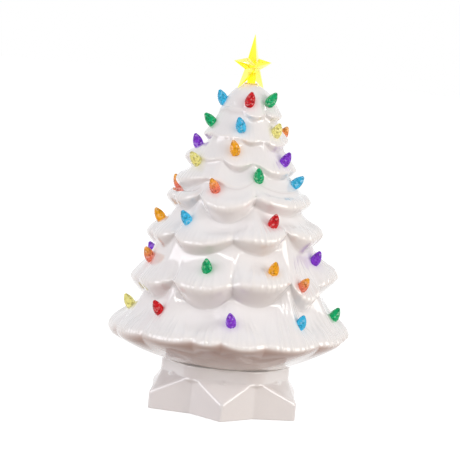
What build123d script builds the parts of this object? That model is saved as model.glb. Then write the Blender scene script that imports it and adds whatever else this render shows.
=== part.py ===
from build123d import *
import math
import os

# Tree shell, in millimetres and degrees
tree_reach = 122.0  # axis to the widest branch tip
tree_top = 329.5  # floor to the flat at the apex
apex_radius = 8.5
foot_height = 49.0  # floor to the ring that the tree stands on
foot_radius = 62.4
mouth_radius = 53.0  # open underside of the shell
mouth_lip = 4.5
branch_lift = 10.0  # unit for how far one lobe hangs above or below its tier
branch_run = 15.0  # deepest undercut of a lobe, inwards
branch_drop = 20.0  # deepest undercut of a lobe, downwards
shoulder_run = 5.0  # rounding over the top of a rim, inwards
shoulder_rise = 8.0
slope_hollow = 2.5  # sag of a branch slope between two rims
apex_bulge = 2.7
nose_share = 0.25  # place of the swell under a rim, from rim to fold
nose_swell_share = 0.07
lip_run_share = 0.13  # rounded lip of the lowest tier, of the undercut it would have
lip_drop_share = 0.40
skirt_bulge = 4.0  # belly of the underside of the lowest tier
skirt_belly_shares = ((0.16, 0.88), (0.50, 1.0), (0.80, 0.5))
lobe_power = 2.2  # larger: flatter lobes with sharper creases
ring_points = 120

# Hollow of the shell from the belly up: radius of tree_reach, height of tree_top
cavity_shares = (
    (0.820, 0.2231), (0.844, 0.2458), (0.656, 0.3308), (0.656, 0.4249), (0.561, 0.4977),
    (0.557, 0.5524), (0.467, 0.5979), (0.434, 0.6434), (0.307, 0.7223), (0.299, 0.7709),
    (0.238, 0.8012), (0.234, 0.8437), (0.164, 0.8862), (0.160, 0.9226), (0.066, 0.9651),
)

# Tiers from the top down: reach of tree_reach, height of tree_top, undercut, shoulder and hollow shares
tier_shares = (
    (0.289, 0.9083, 0.40, 0.70, 0.0),
    (0.352, 0.8346, 0.43, 0.70, 0.25),
    (0.492, 0.7560, 0.57, 0.75, 0.3),
    (0.549, 0.7056, 0.62, 0.75, 0.3),
    (0.639, 0.6449, 0.80, 0.85, 0.5),
    (0.754, 0.5426, 0.75, 0.95, 0.7),
    (0.861, 0.4046, 1.10, 1.05, 0.9),
    (1.000, 0.2446, 1.00, 1.10, 1.0),
)

# Lobes and the creases between them by turns, from the left round the front to the right:
# azimuth in degrees, then shares for reach, lift and undercut. The back mirrors the front.
lobe_shares = (
    ((-90, 1.000, 0.02, 0.25), (-56, 0.940, 0.25, 0.15), (-30, 0.977, -0.05, 0.15),
     (-12, 0.925, 0.25, 0.20), (14, 0.970, -0.10, 0.50), (37, 0.915, 0.22, 0.30),
     (62, 0.977, 0.02, 0.70), (78, 0.935, 0.17, 0.50), (90, 0.960, 0.10, 0.80)),
    ((-90, 1.000, 0.15, 0.70), (-50, 0.935, 0.50, 0.20), (-30, 0.975, 0.10, 0.20),
     (-9, 0.925, 0.40, 0.15), (8, 0.985, -0.05, 0.55), (26, 0.919, 0.30, 0.20),
     (50, 1.000, -0.30, 0.75), (74, 0.977, -0.05, 0.45), (90, 0.988, 0.10, 0.80)),
    ((-90, 1.000, 0.34, 0.90), (-62, 0.910, 0.80, 0.30), (-43, 0.908, 0.14, 0.32),
     (-26, 0.835, 0.60, 0.18), (-7, 0.867, 0.09, 0.55), (11, 0.800, 0.60, 0.22),
     (46, 0.883, -0.36, 0.60), (70, 0.867, -0.16, 0.45), (90, 0.883, -0.21, 0.75)),
    ((-90, 1.000, -0.30, 1.00), (-36, 0.925, 0.40, 0.31), (0, 0.896, 0.15, 0.15),
     (45, 0.896, 0.15, 0.15), (90, 0.896, 0.15, 0.15)),
    ((-90, 0.955, -0.10, 0.75), (-68, 0.930, 0.16, 0.50), (-55, 0.945, -0.02, 0.68),
     (-37, 0.872, 0.80, 0.25), (-12, 1.000, -0.30, 1.00),
     (13, 0.859, 1.05, 0.62), (50, 0.923, 0.10, 0.62), (75, 0.897, 0.35, 0.50),
     (90, 0.904, 0.30, 0.69)),
    ((-90, 0.995, -0.58, 0.80), (-73, 0.966, -0.32, 0.50), (-62, 0.985, -0.50, 0.70),
     (-48, 0.913, 0.12, 0.17), (-30, 1.000, -0.63, 0.73),
     (-2.5, 0.924, 0.32, 0.33), (18, 0.973, 0.22, 1.00), (38, 0.870, 1.22, 0.17),
     (62, 0.935, 0.47, 0.93), (78, 0.918, 0.72, 0.60), (90, 0.935, 0.52, 1.00)),
    ((-90, 0.990, -0.58, 0.78), (-69, 0.966, -0.30, 0.50), (-55, 0.986, -0.50, 0.74),
     (-38, 0.924, 0.27, 0.17), (-18.5, 1.000, -0.23, 0.96),
     (0, 0.929, 0.57, 0.61), (17.5, 1.000, 0.52, 1.00), (36, 0.929, 1.07, 0.17),
     (51, 0.962, -0.73, 0.61), (64, 0.924, 0.47, 0.17), (90, 0.990, 1.02, 0.87)),
    ((-90, 1.000, -0.31, 1.00), (-70, 0.975, -0.06, 0.75), (-58, 0.992, -0.22, 0.90),
     (-46, 0.963, 0.14, 0.50), (-31, 0.992, -0.11, 0.60), (-17, 0.967, 0.34, 0.35),
     (-10, 0.990, 0.02, 0.50), (-3, 0.962, 0.42, 0.25),
     (8, 0.992, -0.11, 0.55), (18, 0.967, 0.29, 0.35), (33, 0.992, -0.01, 0.55),
     (50, 0.965, 0.44, 0.30), (62, 0.990, 0.25, 0.50), (75, 0.972, 0.60, 0.35),
     (90, 0.992, 0.54, 0.50)),
)
part_tier = 3  # this tier has one lobe on the left and melts into the slope elsewhere
part_tier_shares = (1.0, 1.0, 0.06, 0.06, 0.06)
melt_rim_share = 0.42
melt_fold_share = 0.50
full_cut_share = 0.55  # upper tiers melt into the slope where the undercut is less

# Bulbs
bulb_length = 16.5  # seat to tip
bulb_radius = 5.2
bulb_foot_radius = 4.3
bulb_peg_radius = 2.4
bulb_peg_length = 9.0
bulb_seat_depth = 2.0
bulb_clearance = 0.3
bulb_bore_length = 60.0
bulb_tip_radius = 1.4
bulb_belly_share = 0.28
bulb_waist_share = 0.66
bulb_waist_radius_share = 0.80

# Bulb places: colour, tier, azimuth, share of the way from the fold above to the shoulder,
# then the rise and the facing of the bulb's axis, angles in degrees
bulb_place_shares = (
    ("blue", 0, -88, 0.87, 58, -48), ("red", 0, 0, 0.79, 60, 18), ("green", 0, 48, 0.74, 56, 58),
    ("amber", 0, 166, 0.92, 40, 166), ("coral", 0, -164, 0.92, 40, -164),
    ("green", 1, -75, 0.69, 45, -65), ("blue", 1, -9, 0.71, 60, -26),
    ("yellow", 1, 53, 0.69, 58, 28), ("coral", 1, 118, 1.00, 62, 70),
    ("red", 1, 158, 0.55, 56, 158), ("amber", 1, -156, 0.52, 56, -156),
    ("purple", 2, -90, 0.49, 60, -42), ("amber", 2, -12, 0.64, 60, -26),
    ("purple", 2, 59, 0.74, 58, 48), ("green", 2, 150, 0.50, 56, 150),
    ("blue", 2, -178, 0.48, 56, -178), ("red", 2, -146, 0.45, 56, -146),
    ("yellow", 3, -58, 0.23, 50, -62), ("green", 3, 17, 0.88, 60, -7),
    ("blue", 3, 69, 0.79, 45, 65),
    ("coral", 4, -117, 1.05, 62, -80), ("coral", 4, -23, 0.43, 58, -48),
    ("amber", 4, 140, 0.45, 56, 140), ("purple", 4, 174, 0.45, 56, 174),
    ("yellow", 4, -150, 0.45, 56, -150),
    ("amber", 5, -90, 0.62, 54, -62), ("blue", 5, -40, 0.63, 54, -60),
    ("red", 5, 27, 0.57, 60, 30), ("green", 5, 136, 0.50, 56, 136),
    ("coral", 5, 164, 0.48, 56, 164), ("yellow", 5, -166, 0.50, 56, -166),
    ("red", 5, -138, 0.52, 56, -138),
    ("coral", 6, -71, 0.52, 58, -50), ("purple", 6, -113, 0.56, 60, -100),
    ("green", 6, -17, 0.58, 60, -9), ("amber", 6, 24, 0.74, 60, 20),
    ("purple", 6, 71, 0.44, 60, 46), ("coral", 6, 45, 0.98, 52, 46),
    ("blue", 6, 132, 0.45, 56, 132), ("yellow", 6, 162, 0.55, 56, 162),
    ("red", 6, -160, 0.50, 56, -160),
    ("yellow", 7, -85, 0.46, 56, -58), ("red", 7, -42, 0.54, 55, -56),
    ("purple", 7, 1, 0.65, 60, -18), ("blue", 7, 41, 0.63, 60, 26),
    ("green", 7, 80, 0.64, 60, 47), ("amber", 7, 128, 0.62, 56, 128),
    ("coral", 7, 152, 0.62, 56, 152), ("green", 7, 178, 0.60, 56, 178),
    ("blue", 7, -156, 0.62, 56, -156), ("amber", 7, -131, 0.62, 56, -131),
)

# Star topper
star_centre_height = 348.0
star_top_radius = 33.0
star_arm_radius = 25.0
star_leg_radius = 29.5
star_notch_radius = 10.5
star_arm_angle = 10.0  # above the level
star_leg_angle = 54.5  # below the level
star_notch_angles = (50.0, -20.0)  # over and under an arm
star_half_thickness = 6.5
star_turn = 38.0  # face turned to the viewer's right
star_peg_radius = 2.8
star_peg_bottom = 319.5
star_collar_radius = 4.2
star_clearance = 0.3
ferrule_radius = 4.6
ferrule_flange_radius = 6.6
ferrule_flange = 1.3
ferrule_bottom = 316.0

# Base
base_points = 6
base_tip_radius = 86.0
base_notch_radius = 63.0
base_tip_wall = 17.4  # floor to the top of a point's wall
base_roof_height = 36.0  # floor to where the facets meet the neck
base_roof_flat = 59.6  # axis to the upper edge of a facet
base_neck_flat = 60.0  # axis to a flat of the neck
base_neck_round = 42.0
base_seat_height = 48.4  # floor to the seat for the foam ring
base_edge_round = 3.0
well_radius = 54.0
throat_radius = 46.0
throat_height = 38.0
spigot_radius = 50.5
spigot_height = 56.8
rebate_radius = 58.0
pad_thickness = 1.5
base_bottom = 0.5  # the pads stand proud of the base by this
pad_clearance = 0.2
neck_overlap = 2.0  # neck sunk into the facets
pad_radius = 6.5
pad_circle = 71.0
ring_inner_radius = 52.0
ring_outer_radius = 59.6

# Lamp housing and battery bay
flange_radius = 57.7
flange_bottom = 3.0
flange_thickness = 2.5
cell_radius = 7.1
cell_length = 49.2
cell_nub_radius = 2.7
cell_nub = 1.3
cell_count = 3
cell_pitch = 15.2
cell_axis_height = 13.0
spring_gap = 5.6
spring_radius = 3.2
spring_wire_radius = 0.35
spring_turns = 4
plate_thickness = 0.5
plate_width = 10.0
plate_height = 10.0
bay_side_play = 0.6
bay_wall = 2.0
bay_roof_gap = 0.6
post_radius = 3.2
post_height = 7.0
post_circle = 26.0
post_count = 4
board_radius = 33.0
board_thickness = 1.6
screw_radius = 1.4
screw_length = 6.0
screw_head_radius = 2.7
screw_head_height = 1.8
screw_fit = 0.2
led_radius = 2.5
led_flange_radius = 2.9
led_flange = 1.0
led_barrel = 5.2
led_circle = 15.0
led_count = 6

# Battery door
door_gap = 0.4
door_thickness = 2.0
door_arm_width = 7.0
door_arm_offset = 15.0
hinge_reach = 3.85  # plate edge to hinge axis
knuckle_radius = 2.2
pin_radius = 1.0
pin_clearance = 0.3
lug_width = 3.5
lug_half_depth = 2.8
lug_height = 4.4
door_lip = 3.0
door_lip_width = 10.0
door_lip_thickness = 1.2
finger_width = 16.0
finger_depth = 5.0

# Switch
switch_offset = 43.0  # axis to the switch, towards the back
switch_length = 13.0
switch_width = 6.6
switch_height = 5.5
switch_wall = 1.0
switch_travel = 4.0
knob_foot_length = 4.0
knob_foot_height = 2.0
knob_stem = 2.4
knob_grip_length = 5.0
knob_grip_width = 3.6
knob_grip_height = 1.6
knob_clearance = 0.3


def at(radius, azimuth, height):
    """Point at an azimuth counted from the front, turning to the viewer's right."""
    turn = math.radians(azimuth)
    return (radius * math.sin(turn), -radius * math.cos(turn), height)


def between(first, second, share):
    """Point part of the way from one (radius, height) pair to another."""
    return tuple(a + (b - a) * share for a, b in zip(first, second))


def folded(azimuth):
    """Azimuth on the front half that a direction behind mirrors."""
    turn = (azimuth + 180) % 360 - 180
    if turn > 90:
        return 180 - turn
    return -180 - turn if turn < -90 else turn


def lobe_values(tier, azimuth):
    """Reach, lift and undercut shares at an azimuth, and how near it is to a crease."""
    rows, turn = lobe_shares[tier], folded(azimuth)
    step = max(i for i in range(len(rows) - 1) if rows[i][0] <= turn)
    share = (turn - rows[step][0]) / (rows[step + 1][0] - rows[step][0])
    crease = share if step % 2 == 0 else 1 - share
    weight = share**lobe_power if step % 2 == 0 else 1 - (1 - share) ** lobe_power
    values = [a + (b - a) * weight for a, b in zip(rows[step][1:], rows[step + 1][1:])]
    melt = 1.0
    if tier == part_tier:
        ease = share * share * (3 - 2 * share)
        melt = part_tier_shares[step] + (part_tier_shares[step + 1] - part_tier_shares[step]) * ease
    elif tier < part_tier:
        melt = min(1.0, values[2] / full_cut_share)
    return values, crease**lobe_power, melt


def tier_edges(azimuth):
    """Rim and fold of every tier at an azimuth, as (rim, fold, crease share, melt share)."""
    edges = []
    for tier, (reach, height, under, _, _) in enumerate(tier_shares):
        (out, lift, cut), crease, melt = lobe_values(tier, azimuth)
        rim = (tree_reach * reach * out, tree_top * height + branch_lift * lift)
        fold = (rim[0] - branch_run * under * cut, rim[1] - branch_drop * under * cut)
        edges.append([rim, fold, crease, melt])
    top = (apex_radius, tree_top)
    whole = [(rim, fold) for rim, fold, _, _ in edges]
    for tier in range(part_tier + 1):
        above, below = whole[tier - 1][1] if tier else top, whole[tier + 1][0]
        rim, fold, _, melt = edges[tier]
        edges[tier][0] = between(between(above, below, melt_rim_share), rim, melt)
        edges[tier][1] = between(between(above, below, melt_fold_share), fold, melt)
    return edges


def slope_ends(azimuth, tier):
    """Fold above a tier's slope and the shoulder over its rim."""
    edges = tier_edges(azimuth)
    rim, _, crease, melt = edges[tier]
    top = edges[tier - 1][1] if tier else (apex_radius, tree_top)
    size = tier_shares[tier][3] * (1 - crease / 2) * melt
    return top, (rim[0] - shoulder_run * size, rim[1] + shoulder_rise * size)


def slope_point(azimuth, tier, share):
    """Point on a tier's slope, sagging between its ends (the top one bulges)."""
    top, shoulder = slope_ends(azimuth, tier)
    run, fall = shoulder[0] - top[0], top[1] - shoulder[1]
    sag = slope_hollow * tier_shares[tier][4] * edges_melt(azimuth, tier) if tier else -apex_bulge
    sag = sag * 4 * share * (1 - share) / math.hypot(run, fall)
    point = between(top, shoulder, share)
    return (point[0] - fall * sag, point[1] - run * sag)


def edges_melt(azimuth, tier):
    """Share of a tier's own shape that is left at an azimuth."""
    return lobe_values(tier, azimuth)[2]


def nose_point(rim, fold):
    """Point on the rounded underside of a rim."""
    point = between(rim, fold, nose_share)
    run, fall = rim[0] - fold[0], rim[1] - fold[1]
    return (point[0] + fall * nose_swell_share, point[1] - run * nose_swell_share)


def skirt_points(rim, fold):
    """Lip and belly of the lowest tier, down to the foot."""
    run, fall = rim[0] - fold[0], rim[1] - fold[1]
    lip = (rim[0] - run * lip_run_share, rim[1] - fall * lip_drop_share)
    foot = (foot_radius, foot_height)
    belly = skirt_bulge * (1 + fall / branch_drop) / 2
    points = [lip]
    for share, belly_share in skirt_belly_shares:
        point = between(lip, foot, share)
        points.append((point[0], point[1] - belly * belly_share))
    return points + [foot]


def key_points(azimuth):
    """Outline of the shell at an azimuth, from the apex down to the foot."""
    points = [(apex_radius, tree_top)]
    last = len(tier_shares) - 1
    for tier, (rim, fold, _, _) in enumerate(tier_edges(azimuth)):
        middle_shares = (0.33, 0.66) if tier == 0 else (0.45,)
        points += [slope_point(azimuth, tier, share) for share in middle_shares]
        points += [slope_ends(azimuth, tier)[1], rim]
        if tier < last:
            points += [nose_point(rim, fold), fold]
        else:
            points += skirt_points(rim, fold)
    return points


def ring_wires():
    """Closed curves round the shell through the key points, from the top down."""
    azimuths = [360 * i / ring_points for i in range(ring_points)]
    outlines = [key_points(azimuth) for azimuth in azimuths]
    turns = [i / ring_points for i in range(ring_points + 1)]
    wires = []
    for row in range(len(outlines[0])):
        points = [at(line[row][0], azimuth, line[row][1]) for azimuth, line in zip(azimuths, outlines)]
        wires.append(Wire([Edge.make_spline(points, periodic=True, parameters=turns)]))
    return wires


def cavity():
    """Plain hollow of the shell, open below."""
    profile = [(0, foot_height), (mouth_radius, foot_height), (mouth_radius, foot_height + mouth_lip)]
    profile += [(tree_reach * out, tree_top * up) for out, up in cavity_shares]
    profile.append((0, profile[-1][1]))
    face = make_face(Polyline(*[(r, 0, z) for r, z in profile], close=True))
    return revolve(face, Axis.Z)


def bulb_frame(tier, azimuth, share, tilt, facing):
    """Plane of a bulb's seat, its normal along the bulb."""
    radius, height = slope_point(azimuth, tier, share)
    rise = math.radians(tilt)
    axis = at(math.cos(rise), facing, math.sin(rise))
    seat = Vector(*at(radius, azimuth, height)) - Vector(*axis) * bulb_seat_depth
    return Plane(origin=seat, z_dir=axis)


def bulb_cutter():
    """Bore for a peg and the flat seat over it, on the seat plane."""
    align_up = (Align.CENTER, Align.CENTER, Align.MIN)
    align_down = (Align.CENTER, Align.CENTER, Align.MAX)
    seat = Cylinder(bulb_radius + bulb_clearance, bulb_length, align=align_up)
    bore = Cylinder(bulb_peg_radius + bulb_clearance, bulb_bore_length, align=align_down)
    return seat + bore


def bulb():
    """Flame-shaped bulb with its peg, on the seat plane."""
    outline = Spline(
        (bulb_foot_radius, 0, 0),
        (bulb_radius, 0, bulb_length * bulb_belly_share),
        (bulb_radius * bulb_waist_radius_share, 0, bulb_length * bulb_waist_share),
        (bulb_tip_radius, 0, bulb_length),
    )
    rest = Polyline(
        (bulb_tip_radius, 0, bulb_length),
        (0, 0, bulb_length),
        (0, 0, -bulb_peg_length),
        (bulb_peg_radius, 0, -bulb_peg_length),
        (bulb_peg_radius, 0, 0),
        (bulb_foot_radius, 0, 0),
    )
    return revolve(make_face(outline + rest), Axis.Z)


def tree_body():
    """Scalloped shell with its hollow, bulb bores and apex hole."""
    shell = Solid.make_loft(ring_wires(), ruled=True)
    shell = shell - cavity()
    cutters = []
    for place in bulb_place_shares:
        cutters.append(bulb_frame(*place[1:]) * bulb_cutter())
    align_down = (Align.CENTER, Align.CENTER, Align.MAX)
    hole = Cylinder(ferrule_radius + star_clearance, bulb_bore_length, align=align_down)
    cutters.append(Pos(0, 0, tree_top + ferrule_flange) * hole)
    return shell - cutters


def bulbs(colour):
    """All bulbs of one colour."""
    places = [place for place in bulb_place_shares if place[0] == colour]
    return Compound([bulb_frame(*place[1:]) * bulb() for place in places])


def star_topper():
    """Faceted star with one long point, a collar under it and a peg."""
    turn = math.radians(star_turn)
    face = Plane(
        origin=(0, 0, star_centre_height),
        x_dir=(math.cos(turn), math.sin(turn), 0),
        z_dir=(math.sin(turn), -math.cos(turn), 0),
    )
    half = [
        (star_notch_radius, star_notch_angles[0]),
        (star_arm_radius, star_arm_angle),
        (star_notch_radius, star_notch_angles[1]),
        (star_leg_radius, -star_leg_angle),
    ]
    rays = [(star_top_radius, 90)] + half + [(star_notch_radius, -90)]
    rays += [(radius, 180 - angle) for radius, angle in reversed(half)]
    corners = []
    for radius, angle in rays:
        turned = math.radians(angle)
        corners.append((radius * math.cos(turned), radius * math.sin(turned), 0))
    facets = []
    for i, corner in enumerate(corners):
        for side in (star_half_thickness, -star_half_thickness):
            outline = Wire.make_polygon([corners[i - 1], corner, (0, 0, side)], close=True)
            facets.append(Face(outline))
    star = face * Solid(Shell(facets))
    flange_top = tree_top + ferrule_flange
    collar = upright(star_collar_radius, flange_top, star_centre_height - star_half_thickness)
    peg = upright(star_peg_radius, star_peg_bottom, flange_top)
    return star + collar + peg


def upright(radius, bottom, top):
    """Cylinder on the axis between two heights."""
    align_up = (Align.CENTER, Align.CENTER, Align.MIN)
    return Pos(0, 0, bottom) * Cylinder(radius, top - bottom, align=align_up)


def slab(length, width, bottom, top):
    """Box on the axis between two heights."""
    align_up = (Align.CENTER, Align.CENTER, Align.MIN)
    return Pos(0, 0, bottom) * Box(length, width, top - bottom, align=align_up)


def star_ferrule():
    """Flanged sleeve that lines the apex hole."""
    sleeve = upright(ferrule_radius, ferrule_bottom, tree_top)
    flange = upright(ferrule_flange_radius, tree_top, tree_top + ferrule_flange)
    bore = upright(star_peg_radius + star_clearance, ferrule_bottom, tree_top + ferrule_flange)
    return sleeve + flange - bore


def hexagon(apothem, height):
    """Hexagon with a side facing each point of the base."""
    corner = apothem / math.cos(math.pi / base_points)
    step = 360 / base_points
    points = [at(corner, step * (i + 1 / 2), height) for i in range(base_points)]
    return Wire.make_polygon(points, close=True)


def base_neck():
    """Six-sided neck with well rounded corners over the notches."""
    bottom = base_roof_height - neck_overlap
    block = Solid.extrude(
        Face(hexagon(base_neck_flat, bottom)), Vector(0, 0, base_seat_height - bottom)
    )
    return fillet(block.edges().filter_by(Axis.Z), base_neck_round)


def star_base():
    """Six-pointed base with a facet over each point, a neck and a spigot."""
    step = 360 / base_points
    outline = []
    for i in range(base_points):
        outline.append(at(base_tip_radius, step * i, base_bottom))
        outline.append(at(base_notch_radius, step * (i + 1 / 2), base_bottom))
    walls = Solid.extrude(
        Face(Wire.make_polygon(outline, close=True)),
        Vector(0, 0, base_roof_height - base_bottom),
    )
    slope = (base_tip_radius - base_roof_flat) / (base_roof_height - base_tip_wall)
    low = base_tip_radius + (base_tip_wall - base_bottom) * slope
    roof = Solid.make_loft(
        [hexagon(low, base_bottom), hexagon(base_roof_flat, base_roof_height)], ruled=True
    )
    star = walls & roof
    rims = star.edges().filter_by(lambda edge: edge.center().Z > base_bottom + base_edge_round)
    rims = rims.filter_by(lambda edge: edge.center().Z < base_roof_height - base_edge_round)
    star = fillet(rims, base_edge_round)
    neck = base_neck()
    spigot = upright(spigot_radius, base_tip_wall, spigot_height)
    well = upright(well_radius, 0, throat_height)
    rebate = upright(rebate_radius, 0, flange_bottom + flange_thickness)
    throat = upright(throat_radius, throat_height, spigot_height)
    pocket = upright(pad_radius + pad_clearance, 0, pad_thickness)
    pockets = [Pos(*at(pad_circle, step * i, 0)) * pocket for i in range(base_points)]
    return star + neck + spigot - well - rebate - throat - pockets


def foot_pads():
    """Round pads under the points of the base."""
    step = 360 / base_points
    pad = upright(pad_radius, 0, pad_thickness)
    return Compound([Pos(*at(pad_circle, step * i, 0)) * pad for i in range(base_points)])


def seat_ring():
    """Foam ring between the base and the tree."""
    ring = upright(ring_outer_radius, base_seat_height, foot_height)
    return ring - upright(ring_inner_radius, base_seat_height, foot_height)


def bay_sizes():
    """Inner width, inner length and inner top of the battery bay."""
    width = cell_count * cell_pitch + 2 * bay_side_play
    length = cell_length + cell_nub + spring_gap + 2 * plate_thickness
    return width, length, cell_axis_height + cell_radius + bay_roof_gap


def hinge_place():
    """Distance of the hinge axis in front of the middle, and its height."""
    length = bay_sizes()[1]
    return -(length / 2 - door_gap + hinge_reach), flange_bottom + flange_thickness / 2


def post_places():
    """Middles of the board posts."""
    step = 360 / post_count
    return [at(post_circle, step * (i + 1 / 2), 0) for i in range(post_count)]


def rod_along_x(radius, start, end, y, z):
    """Cylinder along X between two stations."""
    align_up = (Align.CENTER, Align.CENTER, Align.MIN)
    return Pos(start, y, z) * Rot(0, 90, 0) * Cylinder(radius, end - start, align=align_up)


def lamp_housing():
    """Flange that closes the base, with the battery bay, hinge lugs, posts and switch slot."""
    width, length, top = bay_sizes()
    floor, shelf = flange_bottom, flange_bottom + flange_thickness
    roof = top + bay_wall
    body = upright(flange_radius, floor, shelf)
    body += slab(width + 2 * bay_wall, length + 2 * bay_wall, floor, roof)
    hinge_y, hinge_z = hinge_place()
    lug_span = door_arm_width + 2 * (door_gap + lug_width)
    slot_span = door_arm_width + 2 * door_gap
    slot_front = hinge_y - knuckle_radius - door_gap
    slot_back = -length / 2
    for side in (-1, 1):
        lugs = slab(lug_span, 2 * lug_half_depth, floor, floor + lug_height)
        body += Pos(side * door_arm_offset, hinge_y, 0) * lugs
        slot_top = hinge_z + knuckle_radius + door_gap
        slot = slab(slot_span, slot_back - slot_front, floor, slot_top)
        body -= Pos(side * door_arm_offset, (slot_front + slot_back) / 2, 0) * slot
        start = side * door_arm_offset - lug_span / 2
        body -= rod_along_x(pin_radius, start, start + lug_span, hinge_y, hinge_z)
    body -= slab(width, length, floor, top)
    finger = slab(finger_width, 2 * finger_depth, floor, shelf)
    body -= Pos(0, length / 2, 0) * finger
    for x, y, _ in post_places():
        body += Pos(x, y, 0) * upright(post_radius, roof, roof + post_height)
        hole_bottom = roof + post_height - screw_length + board_thickness
        body -= Pos(x, y, 0) * upright(screw_radius, hole_bottom, roof + post_height)
    slot_length = knob_stem + switch_travel + 2 * knob_clearance
    slot = slab(slot_length, knob_stem + 2 * knob_clearance, floor, shelf)
    return body - Pos(0, switch_offset, 0) * slot


def cell_places():
    """Across-place of each cell and the way its positive end points."""
    middle = (cell_count - 1) / 2
    return [((i - middle) * cell_pitch, 1 if i % 2 == 0 else -1) for i in range(cell_count)]


def rod_along_y(radius, start, end, x):
    """Cylinder at the cells' height, along Y between two stations."""
    align_up = (Align.CENTER, Align.CENTER, Align.MIN)
    low, high = min(start, end), max(start, end)
    return Pos(x, low, cell_axis_height) * Rot(-90, 0, 0) * Cylinder(radius, high - low, align=align_up)


def aa_cells():
    """Batteries, laid head to tail."""
    length = bay_sizes()[1]
    cells = []
    for x, way in cell_places():
        nub_end = way * (length / 2 - plate_thickness)
        head = nub_end - way * cell_nub
        tail = head - way * cell_length
        cells.append(rod_along_y(cell_radius, head, tail, x) + rod_along_y(cell_nub_radius, head, nub_end, x))
    return Compound(cells)


def contact_plates():
    """Contact plates on both ends of the bay."""
    length = bay_sizes()[1]
    plates = []
    for x, _ in cell_places():
        for side in (-1, 1):
            y = side * (length / 2 - plate_thickness / 2)
            plate = Box(plate_width, plate_thickness, plate_height)
            plates.append(Pos(x, y, cell_axis_height) * plate)
    return Compound(plates)


def contact_springs():
    """Coil springs at the negative ends of the cells."""
    length = bay_sizes()[1]
    height = spring_gap - 2 * spring_wire_radius
    path = Helix(height / spring_turns, height, spring_radius)
    section = Plane(origin=path @ 0, z_dir=path % 0) * Circle(spring_wire_radius)
    coil = sweep(section, path)
    springs = []
    for x, way in cell_places():
        start = -way * (length / 2 - plate_thickness - spring_wire_radius)
        turned = Rot(-90, 0, 0) if way > 0 else Rot(90, 0, 0)
        springs.append(Pos(x, start, cell_axis_height) * turned * coil)
    return Compound(springs)


def board_bottom():
    """Height of the underside of the lamp board."""
    return bay_sizes()[2] + bay_wall + post_height


def led_board():
    """Round lamp board with its screw holes."""
    low = board_bottom()
    board = upright(board_radius, low, low + board_thickness)
    for x, y, _ in post_places():
        board -= Pos(x, y, 0) * upright(screw_radius, low, low + board_thickness)
    return board


def board_screws():
    """Screws that hold the lamp board on its posts."""
    top = board_bottom() + board_thickness
    screw = upright(screw_radius, top - screw_length, top)
    screw += upright(screw_head_radius, top, top + screw_head_height)
    return Compound([Pos(x, y, 0) * screw for x, y, _ in post_places()])


def leds():
    """Ring of domed lamps on the board."""
    low = board_bottom() + board_thickness
    lamp = upright(led_flange_radius, low, low + led_flange)
    lamp += upright(led_radius, low + led_flange, low + led_barrel)
    lamp += Pos(0, 0, low + led_barrel) * Sphere(led_radius)
    step = 360 / led_count
    return Compound([Pos(*at(led_circle, step * i, 0)) * lamp for i in range(led_count)])


def battery_door():
    """Door plate with two knuckles on its front edge and a finger lip behind."""
    width, length, _ = bay_sizes()
    floor, top = flange_bottom, flange_bottom + door_thickness
    door = slab(width - 2 * door_gap, length - 2 * door_gap, floor, top)
    lip_end = length / 2 + door_lip
    lip = slab(door_lip_width, lip_end, floor, floor + door_lip_thickness)
    door += Pos(0, lip_end / 2, 0) * lip
    hinge_y, hinge_z = hinge_place()
    edge = -(length / 2 - door_gap)
    for side in (-1, 1):
        x = side * door_arm_offset
        arm = slab(door_arm_width, edge - hinge_y, floor, top)
        door += Pos(x, (edge + hinge_y) / 2, 0) * arm
        start, end = x - door_arm_width / 2, x + door_arm_width / 2
        door += rod_along_x(knuckle_radius, start, end, hinge_y, hinge_z)
        door -= rod_along_x(pin_radius + pin_clearance, start, end, hinge_y, hinge_z)
    return door


def door_pins():
    """Short steel pins through the knuckles, held in the lugs."""
    hinge_y, hinge_z = hinge_place()
    half = door_arm_width / 2 + door_gap + lug_width
    pins = []
    for side in (-1, 1):
        x = side * door_arm_offset
        pins.append(rod_along_x(pin_radius, x - half, x + half, hinge_y, hinge_z))
    return Compound(pins)


def switch_body():
    """Switch case on the flange, open below for the foot of the knob."""
    low = flange_bottom + flange_thickness
    case = slab(switch_length, switch_width, low, low + switch_height)
    room_length = knob_foot_length + switch_travel + 2 * knob_clearance
    room_top = low + knob_foot_height + 2 * knob_clearance
    case -= slab(room_length, switch_width - 2 * switch_wall, low, room_top)
    return Pos(0, switch_offset, 0) * case


def switch_knob():
    """Sliding knob, at the off end of its travel."""
    low = flange_bottom + flange_thickness + knob_clearance
    grip_top = flange_bottom - knob_clearance
    foot_width = switch_width - 2 * switch_wall - 2 * knob_clearance
    knob = slab(knob_foot_length, foot_width, low, low + knob_foot_height)
    knob += slab(knob_stem, knob_stem, grip_top, low)
    knob += slab(knob_grip_length, knob_grip_width, grip_top - knob_grip_height, grip_top)
    return Pos(-switch_travel / 2, switch_offset, 0) * knob


os.makedirs("parts", exist_ok=True)
export_step(tree_body(), "parts/tree_body.step")
for bulb_colour in ("red", "green", "blue", "purple", "yellow", "amber", "coral"):
    export_step(bulbs(bulb_colour), f"parts/bulbs_{bulb_colour}.step")
export_step(star_topper(), "parts/star_topper.step")
export_step(star_ferrule(), "parts/star_ferrule.step")
export_step(star_base(), "parts/star_base.step")
export_step(foot_pads(), "parts/foot_pads.step")
export_step(seat_ring(), "parts/seat_ring.step")
export_step(lamp_housing(), "parts/lamp_housing.step")
export_step(aa_cells(), "parts/aa_cells.step")
export_step(contact_plates(), "parts/contact_plates.step")
export_step(contact_springs(), "parts/contact_springs.step")
export_step(led_board(), "parts/led_board.step")
export_step(board_screws(), "parts/board_screws.step")
export_step(leds(), "parts/leds.step")
export_step(battery_door(), "parts/battery_door.step")
export_step(door_pins(), "parts/door_pins.step")
export_step(switch_body(), "parts/switch_body.step")
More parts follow.
